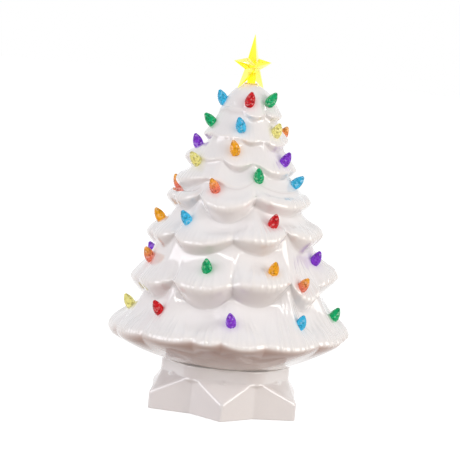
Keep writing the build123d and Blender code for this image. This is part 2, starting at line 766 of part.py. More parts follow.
export_step(switch_knob(), "parts/switch_knob.step")
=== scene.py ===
"""Looks of a glazed ceramic christmas tree with plug-in bulbs, a star topper and a star-shaped base."""

import math
from collections import namedtuple

import bmesh
import bpy
import numpy as np
from bpy.props import (
    FloatProperty,
    FloatVectorProperty,
    IntProperty,
    PointerProperty,
)
from mathutils import Matrix, Vector


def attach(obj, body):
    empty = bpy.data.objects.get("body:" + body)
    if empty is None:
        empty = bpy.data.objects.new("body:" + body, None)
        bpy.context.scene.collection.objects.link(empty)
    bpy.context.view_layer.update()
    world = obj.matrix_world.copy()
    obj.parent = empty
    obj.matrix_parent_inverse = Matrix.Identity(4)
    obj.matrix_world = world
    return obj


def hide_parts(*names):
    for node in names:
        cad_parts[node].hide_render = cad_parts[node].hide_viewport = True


bl_info = {
    "name": "Ceramic Christmas Tree",
    "version": (1, 0, 0),
    "blender": (4, 5, 0),
    "location": "View3D > Sidebar > Tree",
    "description": "Builds the glazed tree, its bulbs, star and base around a packed frame",
    "category": "Object",
}

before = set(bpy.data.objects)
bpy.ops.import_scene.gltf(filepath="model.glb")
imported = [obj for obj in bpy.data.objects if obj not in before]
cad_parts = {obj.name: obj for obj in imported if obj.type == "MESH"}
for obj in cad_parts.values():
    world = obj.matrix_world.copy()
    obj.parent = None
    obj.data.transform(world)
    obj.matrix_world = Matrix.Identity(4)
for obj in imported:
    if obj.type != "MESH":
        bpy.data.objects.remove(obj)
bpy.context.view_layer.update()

# Tiers from the top down: reach, height, undercut, shoulder and hollow as shares of the shell's sizes
TIERS = (
    (0.289, 0.9083, 0.40, 0.70, 0.0),
    (0.352, 0.8346, 0.43, 0.70, 0.25),
    (0.492, 0.7560, 0.57, 0.75, 0.3),
    (0.549, 0.7056, 0.62, 0.75, 0.3),
    (0.639, 0.6449, 0.80, 0.85, 0.5),
    (0.754, 0.5426, 0.75, 0.95, 0.7),
    (0.861, 0.4046, 1.10, 1.05, 0.9),
    (1.000, 0.2446, 1.00, 1.10, 1.0),
)

# Lobes and creases by turns from the left round the front to the right: azimuth, reach, lift, undercut
LOBES = (
    ((-90, 1.000, 0.02, 0.25), (-56, 0.940, 0.25, 0.15), (-30, 0.977, -0.05, 0.15),
     (-12, 0.925, 0.25, 0.20), (14, 0.970, -0.10, 0.50), (37, 0.915, 0.22, 0.30),
     (62, 0.977, 0.02, 0.70), (78, 0.935, 0.17, 0.50), (90, 0.960, 0.10, 0.80)),
    ((-90, 1.000, 0.15, 0.70), (-50, 0.935, 0.50, 0.20), (-30, 0.975, 0.10, 0.20),
     (-9, 0.925, 0.40, 0.15), (8, 0.985, -0.05, 0.55), (26, 0.919, 0.30, 0.20),
     (50, 1.000, -0.30, 0.75), (74, 0.977, -0.05, 0.45), (90, 0.988, 0.10, 0.80)),
    ((-90, 1.000, 0.34, 0.90), (-62, 0.910, 0.80, 0.30), (-43, 0.908, 0.14, 0.32),
     (-26, 0.835, 0.60, 0.18), (-7, 0.867, 0.09, 0.55), (11, 0.800, 0.60, 0.22),
     (46, 0.883, -0.36, 0.60), (70, 0.867, -0.16, 0.45), (90, 0.883, -0.21, 0.75)),
    ((-90, 1.000, -0.30, 1.00), (-36, 0.925, 0.40, 0.31), (0, 0.896, 0.15, 0.15),
     (45, 0.896, 0.15, 0.15), (90, 0.896, 0.15, 0.15)),
    ((-90, 0.955, -0.10, 0.75), (-68, 0.930, 0.16, 0.50), (-55, 0.945, -0.02, 0.68),
     (-37, 0.872, 0.80, 0.25), (-12, 1.000, -0.30, 1.00),
     (13, 0.859, 1.05, 0.62), (50, 0.923, 0.10, 0.62), (75, 0.897, 0.35, 0.50),
     (90, 0.904, 0.30, 0.69)),
    ((-90, 0.995, -0.58, 0.80), (-73, 0.966, -0.32, 0.50), (-62, 0.985, -0.50, 0.70),
     (-48, 0.913, 0.12, 0.17), (-30, 1.000, -0.63, 0.73),
     (-2.5, 0.924, 0.32, 0.33), (18, 0.973, 0.22, 1.00), (38, 0.870, 1.22, 0.17),
     (62, 0.935, 0.47, 0.93), (78, 0.918, 0.72, 0.60), (90, 0.935, 0.52, 1.00)),
    ((-90, 0.990, -0.58, 0.78), (-69, 0.966, -0.30, 0.50), (-55, 0.986, -0.50, 0.74),
     (-38, 0.924, 0.27, 0.17), (-18.5, 1.000, -0.23, 0.96),
     (0, 0.929, 0.57, 0.61), (17.5, 1.000, 0.52, 1.00), (36, 0.929, 1.07, 0.17),
     (51, 0.962, -0.73, 0.61), (64, 0.924, 0.47, 0.17), (90, 0.990, 1.02, 0.87)),
    ((-90, 1.000, -0.31, 1.00), (-70, 0.975, -0.06, 0.75), (-58, 0.992, -0.22, 0.90),
     (-46, 0.963, 0.14, 0.50), (-31, 0.992, -0.11, 0.60), (-17, 0.967, 0.34, 0.35),
     (-10, 0.990, 0.02, 0.50), (-3, 0.962, 0.42, 0.25),
     (8, 0.992, -0.11, 0.55), (18, 0.967, 0.29, 0.35), (33, 0.992, -0.01, 0.55),
     (50, 0.965, 0.44, 0.30), (62, 0.990, 0.25, 0.50), (75, 0.972, 0.60, 0.35),
     (90, 0.992, 0.54, 0.50)),
)
LAST_TIER = len(TIERS) - 1
# A higher power makes the lobes broader and the creases sharper
LOBE_POWER = 2.2

# The tier that shows only on the left, and what is left of it at each of its lobes and creases
PART_TIER = 3
PART_TIER_SHARES = (1.0, 1.0, 0.06, 0.06, 0.06)
# Undercut share from which a tier above it keeps its whole rim
FULL_UNDERCUT = 0.55
# Where the rim and the fold of a melted tier lie on the way between its neighbours
MELTED_RIM, MELTED_FOLD = 0.42, 0.50

# Key points of the outline as shares: down a slope, on the nose under a rim, and on the lowest underside
Key = namedtuple("Key", "radius height kind tier share")
TOP_SLOPE_STOPS = (0.33, 0.66, 1.0)
SLOPE_STOPS = (0.45, 1.0)
NOSE_STOP, NOSE_BULGE = 0.25, 0.07
LIP_RUN, LIP_FALL = 0.13, 0.40
BELLY = ((0.16, 0.88), (0.50, 1.0), (0.80, 0.5))
# Slack of the outline at each kind of key point: a fold is tight, a rim is full
SLACKS = {"slope": 1.0, "rim": 1.1, "nose": 1.0, "fold": 0.35, "skirt": 1.0, "foot": 1.0}

# Rows of faces on each tier: down the slope, over the shoulder and under the rim
SLOPE_ROWS = (4, 2, 3, 2, 3, 4, 4, 6)
SHOULDER_ROWS = (3, 3, 3, 3, 4, 4, 4, 4)
UNDER_ROWS = (2, 2, 2, 2, 2, 3, 3, 3)
SKIRT_ROWS = 3

# Hollow of the shell from the belly up: radius and height as shares of reach and top
HOLLOW = (
    (0.820, 0.2231), (0.844, 0.2458), (0.656, 0.3308), (0.656, 0.4249), (0.561, 0.4977),
    (0.557, 0.5524), (0.467, 0.5979), (0.434, 0.6434), (0.307, 0.7223), (0.299, 0.7709),
    (0.238, 0.8012), (0.164, 0.8862), (0.160, 0.9226), (0.066, 0.9651),
)

# Needle grooves of each tier: spacing, then depth on the left, front and right as shares of the groove sizes
NEEDLES = (
    (0.70, 0.30, 0.30, 0.50), (0.75, 0.35, 0.30, 0.50),
    (0.85, 0.40, 0.35, 0.60), (0.85, 0.40, 0.20, 0.30),
    (0.90, 0.45, 0.60, 0.80), (1.00, 0.70, 0.50, 1.90),
    (1.00, 0.90, 0.65, 1.90), (0.90, 0.85, 1.25, 1.70),
)
# Azimuths that count as left, front and right, and how far up a slope and how far apart the grooves run there
NEEDLE_TURNS = (-60, -8, 42)
NEEDLE_RUNS = (0.60, 0.38, 1.0)
NEEDLE_SPREADS = (1.1, 0.9, 1.6)
# Longer run on the lowest tier, and closeness at the top of a slope
LAST_TIER_RUN = 1.6
NEEDLE_FAN = 0.35
# Shortest and lowest needle, its taper up the slope and its foot below the surface
NEEDLE_SHORTEST, NEEDLE_LOWEST, NEEDLE_TAPER, NEEDLE_FOOT = 0.35, 0.15, 0.3, 0.3
# Depth of the grooves between the lobes of each tier, as shares
CREASES = (0.40, 0.40, 0.50, 0.50, 1.00, 1.00, 1.00, 0.50)

# How fast grooves and thin glaze fade under a rim and under the lowest rim, and the painted shade below a
# fold
UNDER_FADES = (3, 4)
SKIRT_FADES = (7, 8)
FOLD_SHADE_FADE = 5
# Share of the way to the foot that the lowest lip counts for
SKIRT_START = 0.12
# Columns that the folds and the lowest underside are smoothed over
FOLD_BLUR, SKIRT_BLUR = 4, 14

# Bulb places: colour, tier, azimuth, share of the way down the slope, rise and facing of the axis
BULB_PLACES = (
    ("blue", 0, -88, 0.87, 58, -48), ("red", 0, 0, 0.79, 60, 18), ("green", 0, 48, 0.74, 56, 58),
    ("amber", 0, 166, 0.92, 40, 166), ("coral", 0, -164, 0.92, 40, -164),
    ("green", 1, -75, 0.69, 45, -65), ("blue", 1, -9, 0.71, 60, -26),
    ("yellow", 1, 53, 0.69, 58, 28), ("coral", 1, 118, 1.00, 62, 70),
    ("red", 1, 158, 0.55, 56, 158), ("amber", 1, -156, 0.52, 56, -156),
    ("purple", 2, -90, 0.49, 60, -42), ("amber", 2, -12, 0.64, 60, -26),
    ("purple", 2, 59, 0.74, 58, 48), ("green", 2, 150, 0.50, 56, 150),
    ("blue", 2, -178, 0.48, 56, -178), ("red", 2, -146, 0.45, 56, -146),
    ("yellow", 3, -58, 0.23, 50, -62), ("green", 3, 17, 0.88, 60, -7),
    ("blue", 3, 69, 0.79, 45, 65),
    ("coral", 4, -117, 1.05, 62, -80), ("coral", 4, -23, 0.43, 58, -48),
    ("amber", 4, 140, 0.45, 56, 140), ("purple", 4, 174, 0.45, 56, 174),
    ("yellow", 4, -150, 0.45, 56, -150),
    ("amber", 5, -90, 0.62, 54, -62), ("blue", 5, -40, 0.63, 54, -60),
    ("red", 5, 27, 0.57, 60, 30), ("green", 5, 136, 0.50, 56, 136),
    ("coral", 5, 164, 0.48, 56, 164), ("yellow", 5, -166, 0.50, 56, -166),
    ("red", 5, -138, 0.52, 56, -138),
    ("coral", 6, -71, 0.52, 58, -50), ("purple", 6, -113, 0.56, 60, -100),
    ("green", 6, -17, 0.58, 60, -9), ("amber", 6, 24, 0.74, 60, 20),
    ("purple", 6, 71, 0.44, 60, 46), ("coral", 6, 45, 0.98, 52, 46),
    ("blue", 6, 132, 0.45, 56, 132), ("yellow", 6, 162, 0.55, 56, 162),
    ("red", 6, -160, 0.50, 56, -160),
    ("yellow", 7, -85, 0.46, 56, -58), ("red", 7, -42, 0.54, 55, -56),
    ("purple", 7, 1, 0.65, 60, -18), ("blue", 7, 41, 0.63, 60, 26),
    ("green", 7, 80, 0.64, 60, 47), ("amber", 7, 128, 0.62, 56, 128),
    ("coral", 7, 152, 0.62, 56, 152), ("green", 7, 178, 0.60, 56, 178),
    ("blue", 7, -156, 0.62, 56, -156), ("amber", 7, -131, 0.62, 56, -131),
)
BULB_COLOURS = ("red", "green", "blue", "purple", "yellow", "amber", "coral")

# Corners on the right half of the star: size and angle above the horizontal
STAR_CORNERS = (("notch", 50), ("arm", 10), ("notch", -20), ("leg", -54.5))

# How fast the forms of the base draw in past their ends, as run over rise: facets, neck and its flare
FACET_FALL, NECK_FALL, FLARE_FALL = 1.6, 1.5, 1.2
# Place of the middle row of a rounded edge, as a share of its radius
ROUND_MIDDLE = 0.3

# Lamps: name, setting of the power, tint, place and size
LAMPS = (
    ("key_lamp", "key", (1.0, 0.96, 0.93), (2.0, -1.15, 0.75), (1.6, 1.6)),
    ("fill_lamp", "fill", (0.95, 0.94, 1.0), (-2.05, -0.90, 0.65), (1.6, 1.6)),
    ("back_lamp", "back", (1.0, 1.0, 1.0), (0.0, 2.1, 0.9), (1.8, 1.8)),
    ("top_strip", "top_strip", (1.0, 0.98, 0.96), (0.1, -1.9, 1.5), (2.4, 0.14)),
    ("side_strip", "side_strip", (0.98, 0.98, 1.0), (-1.1, -2.0, 0.7), (0.12, 1.2)),
)

# Range that the noise of a finish mostly keeps to
NOISE_LOW, NOISE_HIGH = 0.3, 0.7
# Vertices closer than this are one
MERGE_DISTANCE = 1e-6


def length(name, default, description):
    return FloatProperty(name=name, description=description, default=default, unit="LENGTH", precision=4)


def colour(name, default, description):
    return FloatVectorProperty(
        name=name, description=description, default=default, subtype="COLOR", min=0.0, max=1.0
    )


def share(name, default, description):
    return FloatProperty(
        name=name, description=description, default=default, subtype="FACTOR", min=0.0, max=1.0
    )


def turning(name, degrees, description):
    return FloatProperty(
        name=name, description=description, default=math.radians(degrees), subtype="ANGLE"
    )


def wattage(name, default, description):
    return FloatProperty(name=name, description=description, default=default, unit="POWER", min=0.0)


def amount(name, default, description):
    return FloatProperty(name=name, description=description, default=default, min=0.0)


class ShellSizes(bpy.types.PropertyGroup):
    """Sizes of the ceramic shell."""

    reach: length("Reach", 0.122, "Axis to the widest branch tip")
    top: length("Top", 0.3295, "Floor to the flat at the apex")
    apex_radius: length("Apex radius", 0.0085, "Radius of the flat at the apex")
    hole_radius: length("Hole radius", 0.0049, "Radius of the hole in the apex")
    foot_height: length("Foot height", 0.0490, "Floor to the ring that the tree stands on")
    foot_radius: length("Foot radius", 0.0624, "Outer radius of that ring")
    mouth_radius: length("Mouth radius", 0.053, "Radius of the open underside")
    mouth_lip: length("Mouth lip", 0.0045, "Height of the straight lip in the mouth")
    branch_lift: length("Branch lift", 0.010, "Unit for how far a lobe hangs from its tier")
    branch_run: length("Branch run", 0.015, "Deepest undercut, inwards")
    branch_drop: length("Branch drop", 0.020, "Deepest undercut, downwards")
    shoulder_run: length("Shoulder run", 0.005, "Rounding over a rim, inwards")
    shoulder_rise: length("Shoulder rise", 0.008, "Rounding over a rim, upwards")
    slope_hollow: length("Slope hollow", 0.0025, "Sag of a slope between two rims")
    apex_bulge: length("Apex bulge", 0.0027, "Swell of the top slope")
    skirt_bulge: length("Skirt bulge", 0.0040, "Belly under the lowest tier")
    groove_depth: length("Groove depth", 0.0014, "Depth of the needle grooves")
    groove_spacing: length("Groove spacing", 0.0056, "Distance between needle grooves at a rim")
    crease_depth: length("Crease depth", 0.0026, "Depth of the grooves between lobes")
    crease_width: length("Crease width", 0.0038, "Half width of the grooves between lobes")
    columns: IntProperty(name="Columns", description="Faces round the shell", default=620, min=60)


class GlazeLooks(bpy.types.PropertyGroup):
    """Colours of the glazed ceramic, with its painted shade, reflection and glow."""

    white: colour("White", (0.88, 0.865, 0.86), "Main colour of the glaze")
    rim: colour("Rim", (0.90, 0.875, 0.845), "Thin glaze on the rims")
    # Painted shade: a darker colour in the folds under each tier, where shade falls
    pool: colour("Pool", (0.74, 0.71, 0.70), "Thick glaze in the folds")
    # Painted reflection and shade of the brown floor under the lowest tier, not a colour of the glaze
    skirt: colour("Skirt", (0.49, 0.29, 0.21), "Thin warm glaze under the lowest tier")
    biscuit: colour("Biscuit", (0.80, 0.74, 0.68), "Bare clay of the foot and the hollow")
    # Share of that painted shade in a fold
    fold_shading: share("Pooling", 0.8, "How much of the thick glaze shows in a fold")
    # Painted glow: each bulb's colour painted on the glaze beside it, for its light and reflection
    glow: share("Glow", 0.13, "Colour that a bulb leaves on the glaze beside it")
    painted_glow_reach: length("Glow reach", 0.0042, "How far that colour spreads")


class BulbLooks(bpy.types.PropertyGroup):
    """Sizes and colours of the bulbs."""

    length: length("Length", 0.0152, "Seat to tip")
    radius: length("Radius", 0.0052, "Widest radius")
    foot_radius: length("Foot radius", 0.0043, "Radius at the seat")
    peg_radius: length("Peg radius", 0.0024, "Radius of the peg in the shell")
    peg_length: length("Peg length", 0.009, "Length of the peg")
    tip_radius: length("Tip radius", 0.0014, "Radius at the tip")
    seat_depth: length("Seat depth", 0.002, "How deep the seat lies in the glaze")
    facet_depth: length("Facet depth", 0.0004, "Relief of the cut facets")
    segments: IntProperty(name="Segments", description="Facets round a bulb", default=18, min=6)
    # Painted glints and shade: bright and dark flecks that stand for the light broken by the pebbled cut
    sparkle_scale: amount("Flecks", 560.0, "Flecks along a metre of the plastic")
    red: colour("Red", (0.72, 0.012, 0.020), "Red bulbs")
    green: colour("Green", (0.010, 0.50, 0.19), "Green bulbs")
    blue: colour("Blue", (0.060, 0.58, 0.88), "Blue bulbs")
    purple: colour("Purple", (0.29, 0.055, 0.72), "Purple bulbs")
    yellow: colour("Yellow", (0.94, 0.89, 0.33), "Pale yellow bulbs")
    amber: colour("Amber", (0.93, 0.46, 0.015), "Amber bulbs")
    coral: colour("Coral", (0.88, 0.22, 0.14), "Foot of the coral bulbs")
    coral_tip: colour("Coral tip", (0.93, 0.46, 0.06), "Tip of the coral bulbs")


class StarLooks(bpy.types.PropertyGroup):
    """Sizes and colours of the star topper."""

    centre: length("Centre", 0.348, "Floor to the middle of the star")
    top_point: length("Top point", 0.033, "Middle to the upper point")
    arm: length("Arm", 0.025, "Middle to the point of an arm")
    leg: length("Leg", 0.0295, "Middle to the point of a leg")
    notch: length("Notch", 0.0105, "Middle to a notch")
    half_thickness: length("Half thickness", 0.0065, "Middle plane to the peak of a face")
    edge: length("Edge", 0.0003, "Rounding of the edges")
    collar_radius: length("Collar radius", 0.0042, "Radius of the collar under the star")
    peg_radius: length("Peg radius", 0.0028, "Radius of the peg")
    peg_bottom: length("Peg bottom", 0.3195, "Floor to the end of the peg")
    flange_top: length("Flange top", 0.3308, "Floor to the top of the sleeve's flange")
    segments: IntProperty(name="Segments", description="Faces round the collar", default=32, min=6)
    thick_reach: length("Thick reach", 0.012495, "Middle to where the thick colour ends")
    thick_fade: length("Thick fade", 0.00735, "Width over which it fades")
    turn: turning("Turn", 38, "Face turned from the front")
    yellow: colour("Yellow", (1.0, 0.87, 0.015), "Thin parts of the star")
    # Painted highlight: the pale colour of every second facet stands for the facets that face the lamps
    pale: colour("Pale", (1.0, 0.97, 0.58), "Facets that turn to the light")
    orange: colour("Orange", (0.95, 0.45, 0.01), "Thick middle of the star")


class BaseSizes(bpy.types.PropertyGroup):
    """Sizes of the star-shaped base."""

    tip_radius: length("Tip radius", 0.086, "Axis to a point")
    notch_radius: length("Notch radius", 0.063, "Axis to a notch")
    tip_wall: length("Tip wall", 0.0174, "Floor to the top of a point's wall")
    roof_height: length("Roof height", 0.036, "Floor to where the facets meet the neck")
    roof_flat: length("Roof flat", 0.0596, "Axis to the upper edge of a facet")
    neck_flat: length("Neck flat", 0.060, "Axis to a flat of the neck")
    neck_round: length("Neck round", 0.01615, "Softness of the neck's corners")
    neck_overlap: length("Neck overlap", 0.002, "Neck sunk into the facets")
    seat_height: length("Seat height", 0.0484, "Floor to the seat of the foam ring")
    neck_rim: length("Neck rim", 0.0622, "Radius of the flare at the top of the neck")
    bottom: length("Bottom", 0.0005, "Floor to the underside")
    spigot_radius: length("Spigot radius", 0.0505, "Radius of the spigot in the tree")
    spigot_height: length("Spigot height", 0.0568, "Floor to the top of the spigot")
    throat_radius: length("Throat radius", 0.046, "Radius of the way for the light")
    throat_height: length("Throat height", 0.038, "Floor to the throat")
    well_radius: length("Well radius", 0.054, "Radius of the hollow for the lamp")
    rebate_radius: length("Rebate radius", 0.058, "Radius of the step for the lamp's flange")
    rebate_height: length("Rebate height", 0.0055, "Floor to the step")
    edge_round: length("Edge round", 0.0055, "Softness of the points")
    facet_round: length("Facet round", 0.0044, "Softness of the facets' edges")
    valley_round: length("Valley round", 0.00075, "Glaze in the valleys between points")
    fillet: length("Fillet", 0.0030, "Glaze between the facets and the neck")
    flare_round: length("Flare round", 0.0010, "Glaze between the neck and its flare")
    rim_round: length("Rim round", 0.0005, "Rounding of the lower and upper rims")
    facet_end: length("Facet end", 0.0010, "Neck hidden behind the facets' upper ends")
    columns: IntProperty(name="Columns", description="Faces round the base", default=432, min=72)
    rows: IntProperty(name="Rows", description="Faces up the base", default=62, min=12)


class FittingLooks(bpy.types.PropertyGroup):
    """Colours and marks of the small fittings."""

    pads: colour("Pads", (0.62, 0.62, 0.60), "Clear rubber of the foot pads")
    foam: colour("Foam", (0.80, 0.79, 0.76), "Foam of the ring")
    sleeve: colour("Sleeve", (0.80, 0.60, 0.16), "Golden sleeve in the apex")
    housing: colour("Housing", (0.78, 0.78, 0.75), "Plastic of the lamp housing and the door")
    switch: colour("Switch", (0.03, 0.03, 0.032), "Plastic of the switch")
    steel: colour("Steel", (0.62, 0.62, 0.63), "Contacts, springs, screws and pins")
    cell: colour("Cell", (0.03, 0.045, 0.06), "Jacket of a battery")
    cell_end: colour("Cell end", (0.55, 0.28, 0.10), "Band at the front end of a battery")
    band_start: length("Band start", 0.0086, "Axis of the tree to that band")
    band_blur: length("Band blur", 0.0001, "Half width of the band's edge")
    mask: colour("Mask", (0.82, 0.83, 0.81), "Solder mask of the lamp board")
    track: colour("Track", (0.70, 0.72, 0.66), "Track on the lamp board")
    track_radius: length("Track radius", 0.0195, "Radius of that track")
    track_core: length("Track core", 0.0006, "Half width of its full colour")
    track_edge: length("Track edge", 0.0009, "Half width with its edges")


class StageLooks(bpy.types.PropertyGroup):
    """Camera, floor and lamps."""

    distance: length("Distance", 2.2, "Camera in front of the axis")
    height: length("Height", 0.396, "Camera above the floor")
    lens: amount("Lens", 171.29, "Focal length in millimetres")
    sensor: amount("Sensor", 36.0, "Width of the film in millimetres")
    clip_end: length("Clip end", 50.0, "Farthest that the camera sees")
    yaw: turning("Yaw", -0.2046, "Turn to the right")
    pitch: turning("Pitch", -5.5721, "Turn up")
    roll: turning("Roll", 5.1725, "Turn about the view")
    floor_reach: length("Floor reach", 12.0, "Half width of the floor")
    floor: colour("Floor", (0.36, 0.235, 0.16), "Floor as the object sees it")
    floor_shade: share("Floor shade", 0.30, "How much of a shadow the camera sees on the floor")
    floor_light: share("Floor light", 0.93, "Brightness of the floor as the camera sees it")
    aim: length("Aim", 0.18, "Height that the lamps point at")
    key: wattage("Key", 32.0, "Power of the main lamp")
    fill: wattage("Fill", 24.0, "Power of the left lamp")
    back: wattage("Back", 9.0, "Power of the lamp behind")
    top_strip: wattage("Top strip", 7.5, "Power of the narrow lamp above")
    side_strip: wattage("Side strip", 3.75, "Power of the narrow lamp on the left")
    sky: amount("Sky", 0.375, "Strength of the light all round")
    sky_tint: colour("Sky tint", (0.97, 0.97, 1.0), "Colour of the light all round")


class TreeSettings(bpy.types.PropertyGroup):
    """All settings of the tree."""

    shell: PointerProperty(type=ShellSizes)
    glaze: PointerProperty(type=GlazeLooks)
    bulb: PointerProperty(type=BulbLooks)
    star: PointerProperty(type=StarLooks)
    base: PointerProperty(type=BaseSizes)
    fittings: PointerProperty(type=FittingLooks)
    stage: PointerProperty(type=StageLooks)


def settings():
    return bpy.context.scene.ceramic_tree


# Outline of the shell


def at(radius, azimuth, height):
    """Point at an azimuth counted from the front, turning to the viewer's right."""
    turn = math.radians(azimuth)
    return Vector((radius * math.sin(turn), -radius * math.cos(turn), height))


def between(first, second, weight):
    return tuple(a + (b - a) * weight for a, b in zip(first, second))


def folded(azimuth):
    """Azimuth on the front half that a direction behind mirrors."""
    turn = (azimuth + 180) % 360 - 180
    if turn > 90:
        return 180 - turn
    return -180 - turn if turn < -90 else turn


def lobe_step(tier, azimuth):
    rows, turn = LOBES[tier], folded(azimuth)
    step = max(i for i in range(len(rows) - 1) if rows[i][0] <= turn)
    return rows, step, (turn - rows[step][0]) / (rows[step + 1][0] - rows[step][0])


def lobe_values(tier, azimuth):
    """Reach, lift and undercut shares at an azimuth, how near a crease is, and what is left of the tier."""
    rows, step, part = lobe_step(tier, azimuth)
    crease = part if step % 2 == 0 else 1 - part
    weight = part**LOBE_POWER if step % 2 == 0 else 1 - (1 - part) ** LOBE_POWER
    values = [a + (b - a) * weight for a, b in zip(rows[step][1:], rows[step + 1][1:])]
    melt = 1.0
    if tier == PART_TIER:
        ease = part * part * (3 - 2 * part)
        melt = PART_TIER_SHARES[step] + (PART_TIER_SHARES[step + 1] - PART_TIER_SHARES[step]) * ease
    elif tier < PART_TIER:
        melt = min(1.0, values[2] / FULL_UNDERCUT)
    return values, crease**LOBE_POWER, melt


def tier_edges(sizes, azimuth):
    """Rim and fold of every tier at an azimuth, with crease and melt shares."""
    edges = []
    for tier, (reach, height, under, _, _) in enumerate(TIERS):
        (out, lift, cut), crease, melt = lobe_values(tier, azimuth)
        rim = (sizes.reach * reach * out, sizes.top * height + sizes.branch_lift * lift)
        fold = (rim[0] - sizes.branch_run * under * cut, rim[1] - sizes.branch_drop * under * cut)
        edges.append([rim, fold, crease, melt])
    top = (sizes.apex_radius, sizes.top)
    whole = [(rim, fold) for rim, fold, _, _ in edges]
    for tier in range(PART_TIER + 1):
        above, below = whole[tier - 1][1] if tier else top, whole[tier + 1][0]
        rim, fold, _, melt = edges[tier]
        edges[tier][0] = between(between(above, below, MELTED_RIM), rim, melt)
        edges[tier][1] = between(between(above, below, MELTED_FOLD), fold, melt)
    return edges


def slope_point(sizes, edges, tier, part):
    """Point on a tier's slope from the fold above (0) to the shoulder (1)."""
    rim, _, crease, melt = edges[tier]
    top = edges[tier - 1][1] if tier else (sizes.apex_radius, sizes.top)
    size = TIERS[tier][3] * (1 - crease / 2) * melt
    shoulder = (rim[0] - sizes.shoulder_run * size, rim[1] + sizes.shoulder_rise * size)
    run, fall = shoulder[0] - top[0], top[1] - shoulder[1]
    sag = sizes.slope_hollow * TIERS[tier][4] * melt if tier else -sizes.apex_bulge
    sag = sag * 4 * part * (1 - part) / math.hypot(run, fall)
    point = between(top, shoulder, part)
    return (point[0] - fall * sag, point[1] - run * sag)


def outline_keys(sizes, azimuth):
    """Key points of the outline at an azimuth, from the apex down to the foot."""
    keys = [Key(sizes.apex_radius, sizes.top, "slope", 0, 0.0)]
    edges = tier_edges(sizes, azimuth)
    for tier, (rim, fold, _, _) in enumerate(edges):
        for part in SLOPE_STOPS if tier else TOP_SLOPE_STOPS:
            keys.append(Key(*slope_point(sizes, edges, tier, part), "slope", tier, part))
        keys.append(Key(*rim, "rim", tier, 1.0))
        run, fall = rim[0] - fold[0], rim[1] - fold[1]
        if tier < LAST_TIER:
            nose = between(rim, fold, NOSE_STOP)
            nose = (nose[0] + fall * NOSE_BULGE, nose[1] - run * NOSE_BULGE)
            keys.append(Key(*nose, "nose", tier, NOSE_STOP))
            keys.append(Key(*fold, "fold", tier + 1, 0.0))
            continue
        lip = (rim[0] - run * LIP_RUN, rim[1] - fall * LIP_FALL)
        bulge = sizes.skirt_bulge * (1 + fall / sizes.branch_drop) / 2
        foot = (sizes.foot_radius, sizes.foot_height)
        keys.append(Key(*lip, "skirt", tier, 0.0))
        for part, belly in BELLY:
            point = between(lip, foot, part)
            keys.append(Key(point[0], point[1] - bulge * belly, "skirt", tier, part))
        keys.append(Key(*foot, "foot", tier, 1.0))
    return keys


def segment_rows(first, second):
    """Rows of faces between two neighbouring keys."""
    kinds, tier = (first.kind, second.kind), second.tier
    if kinds == ("slope", "rim"):
        return SHOULDER_ROWS[tier]
    if kinds in (("rim", "nose"), ("nose", "fold")):
        return UNDER_ROWS[tier]
    return SKIRT_ROWS if "skirt" in kinds else SLOPE_ROWS[tier]


def hermite(points, slacks, counts):
    """Smooth run of points through keys, with a slack below 1 where a key is a fold."""
    steps = [max(1e-5, np.hypot(*(b - a))) ** 0.5 for a, b in zip(points, points[1:])]
    slopes = [(b - a) / s for a, b, s in zip(points, points[1:], steps)]
    tangents = [slopes[0]]
    for i in range(1, len(points) - 1):
        mixed = (slopes[i - 1] * steps[i] + slopes[i] * steps[i - 1]) / (steps[i] + steps[i - 1])
        tangents.append(mixed * slacks[i])
    tangents.append(slopes[-1])
    run = [points[0]]
    for i, count in enumerate(counts):
        for row in range(1, count + 1):
            t = row / count
            a, b = 2 * t**3 - 3 * t**2 + 1, t**3 - 2 * t**2 + t
            c, d = -2 * t**3 + 3 * t**2, t**3 - t**2
            start = points[i] * a + tangents[i] * steps[i] * b
            run.append(start + points[i + 1] * c + tangents[i + 1] * steps[i] * d)
    return run


def soft_least(first, second, width):
    """Smaller of two values, blended where they are closer than a width."""
    near = max(0.0, width - abs(first - second)) / width
    return min(first, second) - near * near * width / 4


def chance(number, seed):
    """Share that looks random but is always the same for a number."""
    noise = np.sin(number * 12.9898 + seed) * 43758.5453
    return noise - np.floor(noise)


def ridge(phase, seed, part, run):
    """Height of needle ridges, 0 to 1, each of its own height and length up the slope."""
    needle = np.floor(phase + 0.5)
    start = 1 - run * (NEEDLE_SHORTEST + (1 - NEEDLE_SHORTEST) * chance(needle, seed + 3.1))
    grown = np.clip((part - start) / NEEDLE_TAPER, 0, 1)
    height = NEEDLE_LOWEST + (1 - NEEDLE_LOWEST) * chance(needle, seed)
    return height * grown * (0.5 + 0.5 * np.cos(2 * np.pi * (phase - needle))) ** 1.5


def fade(rate, along):
    """Share that falls from 1 to 0 along a stretch."""
    return max(0, 1 - rate * along)


